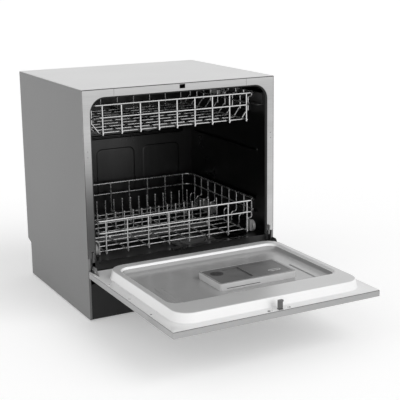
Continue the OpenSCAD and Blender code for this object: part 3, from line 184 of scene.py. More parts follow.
def frame_steel(name, level, low_level):
    """The front frame's brushed finish, painted dimmer down its left leg, in place of a reflection."""
    material = brushed_steel(name, level, "x", 0.3, contrast=14)
    tree = material.node_tree
    shader = tree.nodes["Principled BSDF"]
    bright = shader.inputs["Base Color"].links[0].from_socket
    place = tree.nodes.new("ShaderNodeSeparateXYZ")
    tree.links.new(tree.nodes["Texture Coordinate"].outputs["Object"], place.inputs["Vector"])
    shares = []
    for axis, full, none in (("X", -255, -225), ("Z", 290, 480)):
        made = tree.nodes.new("ShaderNodeMapRange")
        made.interpolation_type = "SMOOTHSTEP"
        made.inputs["From Min"].default_value = full * MM
        made.inputs["From Max"].default_value = none * MM
        made.inputs["To Min"].default_value = 1.0
        made.inputs["To Max"].default_value = 0.0
        tree.links.new(place.outputs[axis], made.inputs["Value"])
        shares.append(made.outputs["Result"])
    both = tree.nodes.new("ShaderNodeMath")
    both.operation = "MULTIPLY"
    tree.links.new(shares[0], both.inputs[0])
    tree.links.new(shares[1], both.inputs[1])
    mix = tree.nodes.new("ShaderNodeMix")
    mix.data_type = "RGBA"
    mix.inputs["B"].default_value = tone(low_level)
    tree.links.new(bright, mix.inputs["A"])
    tree.links.new(both.outputs["Value"], mix.inputs["Factor"])
    tree.links.new(mix.outputs["Result"], shader.inputs["Base Color"])
    return material


def pressed_steel(name, level, roughness=0.2, contrast=5):
    """Drawn or zinc-coated sheet, with faint drawing marks and dried water marks."""
    look = Look(name, level, metallic=1.0, roughness=roughness)
    waves = look.noise(5, 2.0)
    marks = look.noise(22, 4.0, roughness=0.6)
    look.colour(marks, level - contrast, level + contrast)
    look.rough(marks, roughness - 0.02, roughness + 0.04)
    return look.bump(waves, 0.6, 0.35).material


def door_liner_steel(name, rim, slope, field, recess_shade_level, roughness):
    """Pressed liner: satin rim, bright slope, greyer raised field and a duller, smoother recess; the
    brighter slope is partly a painted highlight, the greyer field and darker recess partly painted
    reflection and shade.
    """
    look = Look(name, rim, metallic=0.2, roughness=roughness)
    axes = look.node("ShaderNodeSeparateXYZ")
    look.join(look.place, axes.inputs["Vector"])
    inside = []
    for axis, middle, half in (("X", 0, WELL_HALF + WELL_EDGE), ("Y", WELL_Y, WELL_L + WELL_EDGE),
                               ("Z", 142, 7)):
        test = look.node("ShaderNodeMath", operation="COMPARE")
        test.inputs[1].default_value = middle * MM
        test.inputs[2].default_value = half * MM
        look.join(axes.outputs[axis], test.inputs[0])
        inside.append(test.outputs["Value"])
    across = look.node("ShaderNodeMath", operation="MULTIPLY")
    look.join(inside[0], across.inputs[0])
    look.join(inside[1], across.inputs[1])
    deep = look.node("ShaderNodeMath", operation="MULTIPLY")
    look.join(across.outputs["Value"], deep.inputs[0])
    look.join(inside[2], deep.inputs[1])
    lines = look.noise(700, 2.0, ALONG["x"])
    smudges = look.noise(14, 4.0, roughness=0.6)
    # Finger smudges plus the recess mask: the smudges are real marks, the recess part is painted shade.
    smudges_and_recess_shade = look.node("ShaderNodeMath", operation="MULTIPLY_ADD")
    smudges_and_recess_shade.inputs[1].default_value = 0.12
    look.join(smudges, smudges_and_recess_shade.inputs[0])
    look.join(deep.outputs["Value"], smudges_and_recess_shade.inputs[2])
    height = axes.outputs["Z"]
    # Greys by height and recess: slope brighter as a painted highlight, field greyer and recess darker as
    # painted reflection and shade.
    zones = ((look.spread(height, 0.0, 1.0, 132.4 * MM, 134.5 * MM), slope),
             (look.spread(height, 0.0, 1.0, 153.6 * MM, 154.8 * MM), field),
             (look.spread(smudges_and_recess_shade.outputs["Value"], 0.0, 1.0, 0.0, 1.1), recess_shade_level))
    mixed = None
    for share, level in zones:
        made = look.node("ShaderNodeMix", data_type="RGBA")
        made.inputs["A"].default_value = tone(rim)
        made.inputs["B"].default_value = tone(level)
        if mixed:
            look.join(mixed, made.inputs["A"])
        look.join(share, made.inputs["Factor"])
        mixed = made.outputs["Result"]
    look.join(mixed, look.shader.inputs["Base Color"])
    look.rough(smudges_and_recess_shade.outputs["Value"], roughness, roughness - 0.12, 0.0, 1.1)
    return look.bump(lines, 0.01, 0.3).material


def satin_paint(name, level, roughness=0.42, contrast=2):
    """Powder paint: a fine orange peel and an even tone that drifts a little."""
    look = Look(name, level, roughness=roughness, Specular_IOR_Level=0.35)
    peel = look.noise(700, 3.0)
    drift = look.noise(4, 2.0)
    look.colour(drift, level - contrast, level + contrast)
    look.rough(peel, roughness - 0.04, roughness + 0.05)
    return look.bump(peel, 0.05, 0.4).material


def moulded(name, level, roughness=0.4, contrast=4, grain=1100, depth=0.04):
    """Moulded plastic or rubber: a spark-eroded grain, slightly uneven gloss."""
    look = Look(name, level, roughness=roughness)
    fine = look.noise(grain, 2.0)
    broad = look.noise(25, 3.0)
    look.colour(broad, level - contrast, level + contrast)
    look.rough(broad, roughness - 0.05, roughness + 0.08)
    return look.bump(fine, depth, 0.5).material


def plated(name, level, roughness=0.2, contrast=6):
    """Plated or polished steel parts: bright, with small scuffs."""
    look = Look(name, level, metallic=1.0, roughness=roughness)
    scuffs = look.noise(160, 4.0, roughness=0.65)
    look.colour(scuffs, level - contrast, level + contrast)
    look.rough(scuffs, roughness - 0.06, roughness + 0.1)
    return look.bump(scuffs, 0.02, 0.4).material


def glossy_black(name, level, roughness=0.08):
    """Piano-black front: a deep gloss under a clear coat, with a trace of dust."""
    look = Look(name, level, roughness=roughness, Coat_Weight=0.6, Coat_Roughness=0.05)
    dust = look.noise(420, 4.0, roughness=0.75)
    look.colour(dust, level, level + 10, 0.55, 0.8)
    return look.rough(dust, roughness, roughness + 0.2, 0.5, 0.8).material


def circuit_board(name):
    """Green lacquered board with copper tracks under the lacquer."""
    look = Look(name, 90, roughness=0.35)
    bricks = look.node("ShaderNodeTexBrick")
    bricks.inputs["Scale"].default_value = 90
    bricks.inputs["Color1"].default_value = (0.02, 0.16, 0.05, 1)
    bricks.inputs["Color2"].default_value = (0.03, 0.2, 0.07, 1)
    bricks.inputs["Mortar"].default_value = (0.1, 0.3, 0.1, 1)
    look.join(look.place, bricks.inputs["Vector"])
    look.join(bricks.outputs["Color"], look.shader.inputs["Base Color"])
    return look.bump(bricks.outputs["Fac"], 0.05, 0.5).material


LOOKS = {
    "side_paint": satin_paint("side_paint", 131),
    "top_paint": satin_paint("top_paint", 217, roughness=0.5),
    "frame_steel": frame_steel("frame_steel", 189, 112),
    # tub_steel's very dark grey is painted shade of the tub's inside, darker than the steel itself.
    "tub_steel": brushed_steel("tub_steel", 66, "z", 0.3, contrast=5),
    # Liner greys: the slope's 250 is a painted highlight, the field's 202 and the recess's 162 painted
    # reflection and shade.
    "liner_steel": door_liner_steel("liner_steel", 228, 250, 202, 162, 0.34),
    "door_steel": brushed_steel("door_steel", 172, "x", 0.36),
    "black_metal": satin_paint("black_metal", 40, 0.5),
    "back_zinc": pressed_steel("back_zinc", 152, 0.42, contrast=7),
    "dark_plastic": moulded("dark_plastic", 52, 0.45),
    "grey_plastic": moulded("grey_plastic", 100, 0.42),
    "pump_plastic": moulded("pump_plastic", 60, 0.5),
    "white_plastic": moulded("white_plastic", 226, 0.35),
    "seal_rubber": moulded("seal_rubber", 40, 0.6, grain=500),
    "foot_rubber": moulded("foot_rubber", 30, 0.75, grain=400, depth=0.08),
    "bright_steel": plated("bright_steel", 205, 0.18),
    "plain_steel": plated("plain_steel", 118, 0.38),
    "rack_coat": plated("rack_coat", 222, 0.25),
    "strip_gloss": glossy_black("strip_gloss", 22),
    "button_plastic": moulded("button_plastic", 204, 0.35),
    "board": circuit_board("board"),
    "wheel_plastic": moulded("wheel_plastic", 158, 0.45),
}


def dress_nodes():
    """Gives every carried-over node the finish of its slot in the record."""
    for part in frame["record"]["subparts"]:
        node = frame["nodes"][part["node"]]
        node.data.materials.clear()
        node.data.materials.append(LOOKS[part["material_slot"]])


# Meshes


def add_mesh(name, body, slot, verts, faces):
    """A new piece from vertices in millimetres; it rides on a body and wears a slot's finish."""
    mesh = bpy.data.meshes.new(name)
    mesh.from_pydata([Vector(v) * MM for v in verts], [], faces)
    mesh.validate()
    tidy = bmesh.new()
    tidy.from_mesh(mesh)
    bmesh.ops.remove_doubles(tidy, verts=tidy.verts, dist=1e-6)
    bmesh.ops.recalc_face_normals(tidy, faces=tidy.faces)
    tidy.to_mesh(mesh)
    tidy.free()
    piece = bpy.data.objects.new(name, mesh)
    bpy.context.scene.collection.objects.link(piece)
    mesh.materials.append(LOOKS[slot])
    mesh.polygons.foreach_set("use_smooth", [True] * len(mesh.polygons))
    mesh.set_sharp_from_angle(angle=math.radians(SHARP_ANGLE))
    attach(piece, body)
    return piece


def rounded(points, radii, steps=5):
    """An open outline with its inner corners rounded by arcs of the given radii."""
    made = [Vector(points[0])]
    for i in range(1, len(points) - 1):
        corner = Vector(points[i])
        before = (Vector(points[i - 1]) - corner)
        after = (Vector(points[i + 1]) - corner)
        u, v = before.normalized(), after.normalized()
        half = u.angle(v) / 2
        cut = min(radii[i - 1] / math.tan(half), before.length * 0.49, after.length * 0.49)
        radius = cut * math.tan(half)
        centre = corner + (u + v).normalized() * radius / math.sin(half)
        start, end = corner + u * cut - centre, corner + v * cut - centre
        sweep = start.angle(end)
        for k in range(steps + 1):
            t = k / steps
            made.append(centre + (start * math.sin((1 - t) * sweep) + end * math.sin(t * sweep))
                        / math.sin(sweep))
    made.append(Vector(points[-1]))
    return made


def ring(cx, cy, half_x, half_y, radius, z, steps=7):
    """A rectangle with round corners at one height."""
    points = []
    for sx, sy, a0 in ((1, 1, 0), (-1, 1, 90), (-1, -1, 180), (1, -1, 270)):
        for k in range(steps + 1):
            a = math.radians(a0 + 90 * k / steps)
            points.append((cx + sx * (half_x - radius) + radius * math.cos(a),
                           cy + sy * (half_y - radius) + radius * math.sin(a), z))
    return points


def loft(rings, cap_first=False, cap_last=False):
    """Skins a list of rings that have equal counts."""
    n = len(rings[0])
    verts = [p for r in rings for p in r]
    faces = []
    for i in range(len(rings) - 1):
        for j in range(n):
            k = (j + 1) % n
            faces.append((i * n + j, i * n + k, (i + 1) * n + k, (i + 1) * n + j))
    if cap_first:
        faces.append(tuple(range(n)))
    if cap_last:
        faces.append(tuple(range((len(rings) - 1) * n, len(rings) * n)))
    return verts, faces


def lathe(profile, axis="x", centre=(0, 0, 0), steps=40):
    """Turns a closed (along, radius) outline about an axis."""
    rings = []
    for k in range(steps):
        a = 2 * math.pi * k / steps
        c, s = math.cos(a), math.sin(a)
        row = []
        for along, radius in profile:
            point = {"x": (along, radius * c, radius * s), "y": (radius * c, along, radius * s),
                     "z": (radius * c, radius * s, along)}[axis]
            row.append(tuple(Vector(point) + Vector(centre)))
        rings.append(row)
    rings.append(rings[0])
    return loft(rings)


def merge(*parts):
    """Several (vertices, faces) lists as one."""
    verts, faces = [], []
    for v, f in parts:
        base = len(verts)
        verts += v
        faces += [tuple(i + base for i in face) for face in f]
    return verts, faces


def slab(x0, x1, y0, y1, z0, z1, edge=0.5):
    """A box with eased edges."""
    cx, cy, hx, hy = (x0 + x1) / 2, (y0 + y1) / 2, (x1 - x0) / 2, (y1 - y0) / 2
    r = min(hx, hy, edge * 3) * 0.98
    rings = [ring(cx, cy, hx - edge, hy - edge, max(r - edge, 0.05), z0, 3),
             ring(cx, cy, hx, hy, r, z0 + edge, 3),
             ring(cx, cy, hx, hy, r, z1 - edge, 3),
             ring(cx, cy, hx - edge, hy - edge, max(r - edge, 0.05), z1, 3)]
    return loft(rings, True, True)


def turned(part, rotation, move=(0, 0, 0)):
    """A part turned by angles in degrees and moved."""
    turn = Euler([math.radians(a) for a in rotation]).to_matrix()
    verts, faces = part
    return [tuple(turn @ Vector(v) + Vector(move)) for v in verts], faces


def carve(piece, boxes):
    """Cuts boxes, given by their corners in millimetres, out of a piece."""
    for low, high in boxes:
        verts = [(x, y, z) for x in (low[0], high[0]) for y in (low[1], high[1]) for z in (low[2], high[2])]
        faces = [(0, 1, 3, 2), (4, 6, 7, 5), (0, 4, 5, 1), (2, 3, 7, 6), (0, 2, 6, 4), (1, 5, 7, 3)]
        mesh = bpy.data.meshes.new("cutter")
        mesh.from_pydata([Vector(v) * MM for v in verts], [], faces)
        cutter = bpy.data.objects.new("cutter", mesh)
        bpy.context.scene.collection.objects.link(cutter)
        cut = piece.modifiers.new("cut", "BOOLEAN")
        cut.operation = "DIFFERENCE"
        cut.solver = "EXACT"
        cut.object = cutter
        bpy.context.view_layer.update()
        made = bpy.data.meshes.new_from_object(piece.evaluated_get(bpy.context.evaluated_depsgraph_get()))
        piece.modifiers.remove(cut)
        piece.data = made
        bpy.data.objects.remove(cutter)
    return piece


# Pieces


def door_liner():
    """Pressed liner: flat rim, raised panel with eased edges, and the recess for the dispenser."""
    rings = [ring(0, DOOR_MID_Y, 274.3, 238.3, 1.4, RIM_Z - 0.7),
             ring(0, DOOR_MID_Y, 274.8, 238.8, 1.8, RIM_Z - 0.25),
             ring(0, DOOR_MID_Y, 274.5, 238.5, 1.6, RIM_Z)]
    wall = rounded([(-9, RIM_Z), (0, RIM_Z), (6, TRACK_Z), (13, TRACK_Z)], [2.5, 3])
    for inset, z in wall:
        rings.append(ring(0, PANEL_Y, PANEL_HALF - inset, PANEL_L - inset, 46 - inset, z))
    wall = rounded([(-4, TRACK_Z), (0, TRACK_Z), (9, WELL_Z), (22, WELL_Z)], [4, 8])
    for inset, z in wall:
        rings.append(ring(0, WELL_Y, WELL_HALF - inset, WELL_L - inset, 30 - inset * 0.7, z))
    piece = add_mesh("door_liner_shell", "door", "liner_steel", *loft(rings, cap_last=True))
    thick = piece.modifiers.new("sheet", "SOLIDIFY")
    thick.thickness = 0.9 * MM
    thick.offset = -1
    thick.use_even_offset = True
    mesh = bpy.data.meshes.new_from_object(piece.evaluated_get(bpy.context.evaluated_depsgraph_get()))
    piece.modifiers.remove(thick)
    piece.data = mesh
    slots = []
    for side in (-1, 1):
        for half_slot, y0 in ((4.5, -20.1), (1.6, -46.6)):
            slots.append(((side * HINGE_X - half_slot, y0, RIM_Z - 4),
                          (side * HINGE_X + half_slot, 0, RIM_Z + 4)))
    slots.append(((-6.5, -477.5, RIM_Z - 4), (6.5, -465.5, RIM_Z + 4)))
    carve(piece, slots)
    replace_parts(piece, "door_liner")
    return piece


def arch(half, top, radius, steps=10):
    """The tub's outline from the left foot over the top to the right foot, with inward normals."""
    points = [((-half, TRACK_Z), (1.0, 0.0))]
    for a0, cx in ((180, radius - half), (90, half - radius)):
        for k in range(steps + 1):
            a = math.radians(a0 - 90 * k / steps)
            points.append(((cx + radius * math.cos(a), top - radius + radius * math.sin(a)),
                           (-math.cos(a), -math.sin(a))))
    points.append(((half, TRACK_Z), (-1.0, 0.0)))
    return points


def door_shell():
    """The door's outer panel: a drawn tray with eased edges, open where the control strip sits."""
    under = RIM_Z - DOOR_T
    profile = [(0.8, under), (0.25, under + 0.25), (0.0, under + 0.8), (0.0, RIM_Z - 2.0),
               (0.3, RIM_Z - 1.7), (SHEET, RIM_Z - 1.7), (SHEET, under + SHEET)]
    half_y = DOOR_L / 2
    rings = [ring(0, DOOR_BACK_Y - half_y, HALF_W - inset, half_y - inset, max(1.4 - inset, 0.3), z)
             for inset, z in profile]
    piece = add_mesh("door_shell", "door", "door_steel", *loft(rings, True, True))
    cuts = [((-160.3, -463.3, 114), (160.3, -416.7, 119))]
    for side in (-1, 1):
        x = sorted((side * 260.4, side * 269.6))
        cuts.append(((x[0], -5, 118.2), (x[1], -2, 134)))
    carve(piece, cuts)
    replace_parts(piece, "door_outer_panel")


def door_seal():
    """Hollow bulb seal with two lips, round the opening."""
    profile = rounded([(0.05, 1.3), (1.2, 1.25), (2.2, 2.6), (3.9, 3.4), (3.9, 7.2), (2.2, 8.2),
                       (2.4, 11.0), (0.05, 11.1)], [0.3, 0.6, 1.5, 1.5, 0.6, 0.4], 3)
    rings = []
    for (x, z), (nx, nz) in arch(TUB_HALF, TUB_TOP, TUB_R):
        rings.append([(x + nx * inward, y, z + nz * inward) for inward, y in profile])
    piece = add_mesh("door_seal_bulb", "cabinet", "seal_rubber", *loft(rings, True, True))
    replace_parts(piece, "door_seal")


def split_box(node):
    """The boxes of the left and the right solid of a node, in millimetres."""
    points = [v.co for v in frame["nodes"][node].data.vertices]
    for side in (-1, 1):
        own = [p for p in points if p.x * side > 0]
        yield (Vector([min(p[i] for p in own) for i in range(3)]) / MM,
               Vector([max(p[i] for p in own) for i in range(3)]) / MM)


def wheels(node, body, tyre_slot, web_slot, wall=3.6, bore=2.3, hub=5.0, spokes=5):
    """A pair of wheels: tyre with a tread groove, dished web, spokes and a hub with eased ends."""
    tyres, webs = [], []
    for low, high in split_box(node):
        centre = (low + high) / 2
        r, half = (high.y - low.y) / 2, (high.x - low.x) / 2
        tread = [(-half, r - wall), (-half, r - 1), (1 - half, r), (-0.9, r), (-0.6, r - 0.6),
                 (0.6, r - 0.6), (0.9, r), (half - 1, r), (half, r - 1), (half, r - wall),
                 (half - 1, r - wall - 0.4), (1 - half, r - wall - 0.4)]
        nave = [(-half, bore), (-half, hub - 0.8), (0.8 - half, hub), (half - 0.8, hub), (half, hub - 0.8),
                (half, bore)]
        tyres += [lathe(tread + tread[:1], "x", centre), lathe(nave + nave[:1], "x", centre, 24)]
        for k in range(spokes):
            bar = slab(1.2 - half, half - 1.2, -1.1, 1.1, hub - 0.6, r - wall, 0.4)
            webs.append(turned(bar, (360 * k / spokes + 20, 0, 0), centre))
        web = [(-0.8, hub - 0.5), (-0.8, r - wall), (0.8, r - wall), (0.8, hub - 0.5)]
        webs.append(lathe(web + web[:1], "x", centre))
    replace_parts(add_mesh(node + "_tyres", body, tyre_slot, *merge(*tyres)), node)
    add_mesh(node + "_webs", body, web_slot, *merge(*webs))


def emboss(half_a, half_b, height, radius=8, slope=1.6):
    """A raised field with rounded shoulders, lying flat at the origin."""
    wall = rounded([(-0.6, -0.4), (0, 0), (height * slope, height), (height * slope + 4, height)],
                   [1.0, 1.5], 3)
    return loft([ring(0, 0, half_a - inset, half_b - inset, max(radius - inset * 0.6, 0.8), z)
                 for inset, z in wall], True, True)


def bead(path, radius, steps=10):
    """A round-ended bead along a path."""
    points = [Vector(p) for p in path]
    first = (points[0] - points[1]).normalized() * radius
    last = (points[-1] - points[-2]).normalized() * radius
    rings = []
    for k in range(1, 4):
        a = math.radians(90 * k / 4)
        rings.append((points[0] + first * math.cos(a), radius * math.sin(a)))
    rings += [(p, radius) for p in points]
    for k in range(3, 0, -1):
        a = math.radians(90 * k / 4)
        rings.append((points[-1] + last * math.cos(a), radius * math.sin(a)))
    along = (points[-1] - points[0]).normalized()
    side = along.orthogonal().normalized()
    up = along.cross(side)
    return loft([[tuple(p + r * (side * math.cos(t) + up * math.sin(t)))
                  for t in (2 * math.pi * k / steps for k in range(steps))] for p, r in rings], True, True)


def tub_shell():
    """The tub's sides and ceiling, with a pressed ledge along each side."""
    outline = arch(TUB_HALF, TUB_TOP, TUB_R)
    rings = []
    for (x, z), (nx, nz) in outline:
        profile = [(0.0, TUB_Y0), (0.0, TUB_Y1), (-SHEET, TUB_Y1), (-SHEET, TUB_Y0)]
        rings.append([(x + nx * inward, y, z + nz * inward) for inward, y in profile])
    parts = [loft(rings, True, True)]
    for side in (-1, 1):
        for z, tall in ((386, 6), (250, 4), (210, 4)):
            parts.append(turned(emboss(tall, 190, 2.4, 4), (0, -90 * side, 0),
                                (side * (TUB_HALF + 0.1), 240, z)))
    piece = add_mesh("tub_shell", "cabinet", "tub_steel", *merge(*parts))
    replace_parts(piece, "tub_wrapper")


def tub_back_relief():
    """Pressed ledge and fields on the tub's rear wall."""
    parts = [turned(emboss(228, 7, 2.6, 6), (90, 0, 0), (0, TUB_Y1 + 0.2, 386))]
    for x in (-150, 0, 150):
        parts.append(turned(emboss(62, 70, 1.6, 18), (90, 0, 0), (x, TUB_Y1 + 0.2, 280)))
    for x in (-130, 130):
        parts.append(turned(emboss(84, 22, 1.4, 12), (90, 0, 0), (x, TUB_Y1 + 0.2, 440)))
    add_mesh("tub_back_relief", "cabinet", "tub_steel", *merge(*parts))


def gap_shadow_strips():
    """Dark strips in the joints between the frame, the top and the sides: painted shadow of the gaps."""
    parts = [slab(-274.8, 274.8, -0.3, 0.5, 592.1, 593.7, 0.15)]
    for side in (-1, 1):
        x = sorted((side * 273.7, side * 274.9))
        parts.append(slab(x[0], x[1], -0.25, 0.5, 166.2, 592.2, 0.12))
    add_mesh("gap_shadow_strips", "cabinet", "seal_rubber", *merge(*parts))


def frame_details():
    """The frame's two welded joints as dark lines, and dark crosses for the cross recesses of its screws,
    painted shade of the recesses.
    """
    parts = [slab(x - 0.35, x + 0.35, -0.12, 0.3, 574.2, 592.0, 0.1) for x in (-189.6, 189.6)]
    # Dark crosses: painted shade of the screws' cross recesses.
    for x in (-265, 265):
        for z in (427, 441):
            parts.append(slab(x - 1.3, x + 1.3, -0.8, -0.5, z - 0.35, z + 0.35, 0.1))
            parts.append(slab(x - 0.35, x + 0.35, -0.8, -0.5, z - 1.3, z + 1.3, 0.1))
    add_mesh("frame_details", "cabinet", "seal_rubber", *merge(*parts))


def hinge_guides():
    """Guide plates of the hinges on the frame's feet, and the shoulders riveted to the hinge arms."""
    plates, shoulders = [], []
    for side in (-1, 1):
        x = sorted((side * 257.4, side * 263.2))
        plates.append(turned(slab(x[0], x[1], -1.4, -0.2, 0, 27, 0.3), (5, 0, 0), (0, -0.6, 155)))
        plates.append(lathe([(-0.7, 0.01), (-0.7, 2.6), (-1.2, 2.9), (-1.9, 2.2), (-1.9, 0.01)], "y",
                            (side * 260.3, -1.0, 160), 20))
        for y, z in ((-6.0, 139.5), (-24.0, 136.0)):
            shoulders.append(lathe([(0, 0.01), (0, 2.4), (side * 0.3, 2.2), (side * 0.4, 0.01)], "x",
                                   (side * 266.0, y, z), 18))
    add_mesh("hinge_guides", "cabinet", "plain_steel", *merge(*plates))
    add_mesh("hinge_rivets", "door", "bright_steel", *merge(*shoulders))


def rear_relief():
    """Stiffening beads pressed into the rear panel, and dark strips for its air slots: painted shade of the
    openings.
    """
    y = BACK_Y
    parts = []
    for x in (-128, 128):
        for start, end in (((-96, 250), (96, 540)), ((-96, 540), (96, 250))):
            parts.append(bead([(x + start[0], y - 2.6, start[1]), (x + end[0], y - 2.6, end[1])], 4.0))
    for z in (226, 564):
        parts.append(bead([(-238, y - 2.6, z), (238, y - 2.6, z)], 4.0))
    add_mesh("rear_relief", "cabinet", "back_zinc", *merge(*parts))
    # Air slots: dark strips as painted shade of the openings.
    slots = []
    for row in range(7):
        for x in (-60, 0, 60):
            slots.append(slab(x - 24, x + 24, y - 0.3, y + 0.25, 150 + row * 9, 153 + row * 9, 0.2))
    add_mesh("air_slot_shade_strips", "cabinet", "seal_rubber", *merge(*slots))


def hose_ends():
    """The thread of the water inlet and the barbs of the drain spigot, in the recess of the back."""
    thread = [lathe([(y, 13.0), (y + 0.6, 14.0), (y + 1.2, 14.0), (y + 1.8, 13.0), (y, 13.0)], "y",
                    (-190, 0, HOSE_Z)) for y in (455.0, 457.4, 459.8, 462.2)]
    add_mesh("inlet_thread", "cabinet", "white_plastic", *merge(*thread))
    barbs = [lathe([(y, 9.8), (y, 11.2), (y + 3.0, 9.8), (y, 9.8)], "y",
                   (-130, 0, HOSE_Z)) for y in (460.0, 464.5, 469.0)]
    add_mesh("drain_barbs", "cabinet", "pump_plastic", *merge(*barbs))


def liner_details():
    """Door gasket line, stiffening ribs in the recess and two small screws beside the latch hook."""
    line = [ring(0, DOOR_MID_Y, half, half - 36.0, 1.2, z) for half, z in
            ((274.1, RIM_Z - 2.2), (274.1, RIM_Z - 0.6), (272.3, RIM_Z - 0.6), (272.3, RIM_Z - 2.2))]
    gasket = add_mesh("door_gasket_line", "door", "seal_rubber", *loft(line + line[:1]))
    carve(gasket, [((side * HINGE_X - 4.8, -20.1, RIM_Z - 4), (side * HINGE_X + 4.8, 0, RIM_Z + 1))
                   for side in (-1, 1)])
    ribs = [turned(emboss(10, 62, 2.0, 6), (0, 0, 0), (side * 190, -286, 139.9)) for side in (-1, 1)]
    add_mesh("pocket_ribs", "door", "liner_steel", *merge(*ribs))
    heads = []
    for x in (-30, 24):
        heads.append(lathe([(0, 0.01), (0, 3.6), (0.7, 3.3), (1.3, 2.0), (1.3, 0.9), (0.7, 0.7),
                            (0.7, 0.01)], "z", (x, -472, RIM_Z)))
    add_mesh("latch_plate_screws", "door", "plain_steel", *merge(*heads))


def dispenser_details():
    """Light bezel round the dispenser, its outlet slot as a dark strip (painted shade of the opening) and
    the lid's oval grip.
    """
    x, y = 37.0, -262.0
    half_x, half_y, r = 105.0, 56.0, 6.0
    wall = [(0.9, 139.9), (0.9, 154.8), (0.3, 156.2), (-2.2, 157.25), (-2.9, 157.0), (-2.9, 156.4),
            (-0.6, 155.0), (-0.6, 139.9)]
    rings = [ring(x, y, half_x + grow, half_y + grow, r + grow, z) for grow, z in wall]
    add_mesh("dispenser_bezel", "door", "button_plastic", *loft(rings + rings[:1]))
    # Outlet slot: a dark strip as painted shade of the opening.
    add_mesh("dispenser_outlet_shade", "door", "dark_plastic", *slab(-52, 40, -319.1, -318.6, 143.4, 145.0, 0.2))
    grip = loft([ring(98.7, -288, 17 - inset, 5.5 - inset, 5.4 - inset, z)
                 for inset, z in ((-0.1, 157.4), (-0.1, 157.8), (0.3, 158.15), (1.2, 158.2),
                                  (2.2, 157.95))], True, True)
    add_mesh("dispenser_grip", "dispenser_lid", "button_plastic", *grip)


def strip_details():
    """Window, marks and lamps on the control strip, whose face looks down while the door is open."""
    z0, z1 = 115.75, 116.3
    add_mesh("display_window", "door", "dark_plastic", *slab(-142, -86, -451, -429, z0, z1, 0.2))
    marks = [slab(-136 + 15 * k, -126 + 15 * k, -441, -439, z0 - 0.1, z1, 0.1) for k in range(3)]
    for k in range(4):
        marks.append(lathe([(z0 - 0.15, 0.01), (z0 - 0.1, 0.9), (z1, 1.2), (z1, 0.01)], "z",
                           (-66, -452 + 8 * k, 0), 16))
    for k in range(12):
        marks.append(turned(slab(2.2, 2.9, -0.65, 0.65, z0 - 0.1, z1, 0.1), (0, 0, 90 + 25.5 * k),
                            (139, -424, 0)))
    marks.append(slab(138.6, 139.4, -424.2, -420.6, z0 - 0.1, z1, 0.1))
    for k in range(3):
        marks.append(slab(106, 112, -426.5 + 2 * k, -425.5 + 2 * k, z0 - 0.1, z1, 0.1))
    triangle = ([(76.6, -427, z0 - 0.1), (76.6, -421, z0 - 0.1), (81.8, -424, z0 - 0.1),
                 (76.6, -427, z1), (76.6, -421, z1), (81.8, -424, z1)],
                [(0, 1, 2), (3, 5, 4), (0, 3, 4, 1), (1, 4, 5, 2), (2, 5, 3, 0)])
    marks.append(triangle)
    add_mesh("strip_marks", "door", "button_plastic", *merge(*marks))


def tine_tips():
    """Rounded coating drops on the ends of the folding tines."""
    for node in ("front_tines", "rear_tines"):
        points = [v.co / MM for v in frame["nodes"][node].data.vertices]
        top = max(p.z for p in points)
        places = sorted({round(p.x) for p in points if p.z > top - 0.4})
        centres, group = [], [places[0]]
        for x in places[1:] + [1e6]:
            if x - group[-1] > 8:
                centres.append((group[0] + group[-1]) / 2)
                group = []
            group.append(x)
        y = (min(p.y for p in points) + max(p.y for p in points)) / 2
        drop = [(-4.5, 1.72), (-3.4, 2.15), (-1.6, 2.3), (-0.2, 1.7), (0.35, 0.8), (0.4, 0.01)]
        add_mesh(node + "_tips", node, "rack_coat",
                 *merge(*[lathe(drop, "z", (x, y, top), 14) for x in centres]))


def ease_edges(width, *nodes):
    """Small radii on the edges of carried-over parts, with clean shading."""
    for name in nodes:
        piece = frame["nodes"][name]
        weld = piece.modifiers.new("weld", "WELD")
        weld.merge_threshold = 1e-5
        radius = piece.modifiers.new("edges", "BEVEL")
        radius.width = width * MM
        radius.segments = 2
        radius.limit_method = "ANGLE"
        radius.angle_limit = math.radians(EASED_ANGLE)
        radius.use_clamp_overlap = True
        shade = piece.modifiers.new("shade", "WEIGHTED_NORMAL")
        shade.keep_sharp = True


dress_nodes()
ease_edges(0.5, "top_panel", "left_side_panel", "right_side_panel", "base_pan")
ease_edges(0.6, "feet", "dispenser_body", "dispenser_lid", "rinse_aid_cap", "hinge_arms", "hinge_brackets")
door_liner()
door_shell()
liner_details()
dispenser_details()
strip_details()
door_seal()
tub_shell()
tub_back_relief()
# Dark strips as painted shadow in the cabinet's joints.
gap_shadow_strips()
frame_details()
hinge_guides()
rear_relief()
hose_ends()
for place in ("front", "middle", "rear"):
    wheels(f"lower_wheels_{place}", f"lower_wheels_{place}", "wheel_plastic", "dark_plastic")
    wheels(f"upper_rollers_{place}", f"upper_rollers_{place}", "white_plastic", "grey_plastic")
tine_tips()

# Stage


def camera():
    """The photograph's camera, found from the cabinet's and the door's corners."""
    data = bpy.data.cameras.new("camera")
    eye = bpy.data.objects.new("camera", data)
    bpy.context.scene.collection.objects.link(eye)
    eye.location = (-1.1542, -2.2885, 0.9191)
    yaw, pitch, roll = math.radians(29.11), math.radians(-13.20), math.radians(-0.45)
    forward = Vector((math.sin(yaw) * math.cos(pitch), math.cos(yaw) * math.cos(pitch), math.sin(pitch)))
    turn = forward.to_track_quat("-Z", "Y").to_matrix().to_4x4()
    eye.matrix_world = Matrix.Translation(eye.location) @ turn @ Matrix.Rotation(roll, 4, "Z")
    data.sensor_width = 36.0
    data.lens = 90.405
    data.shift_x = -0.0605
    data.shift_y = -0.0315
    bpy.context.scene.camera = eye


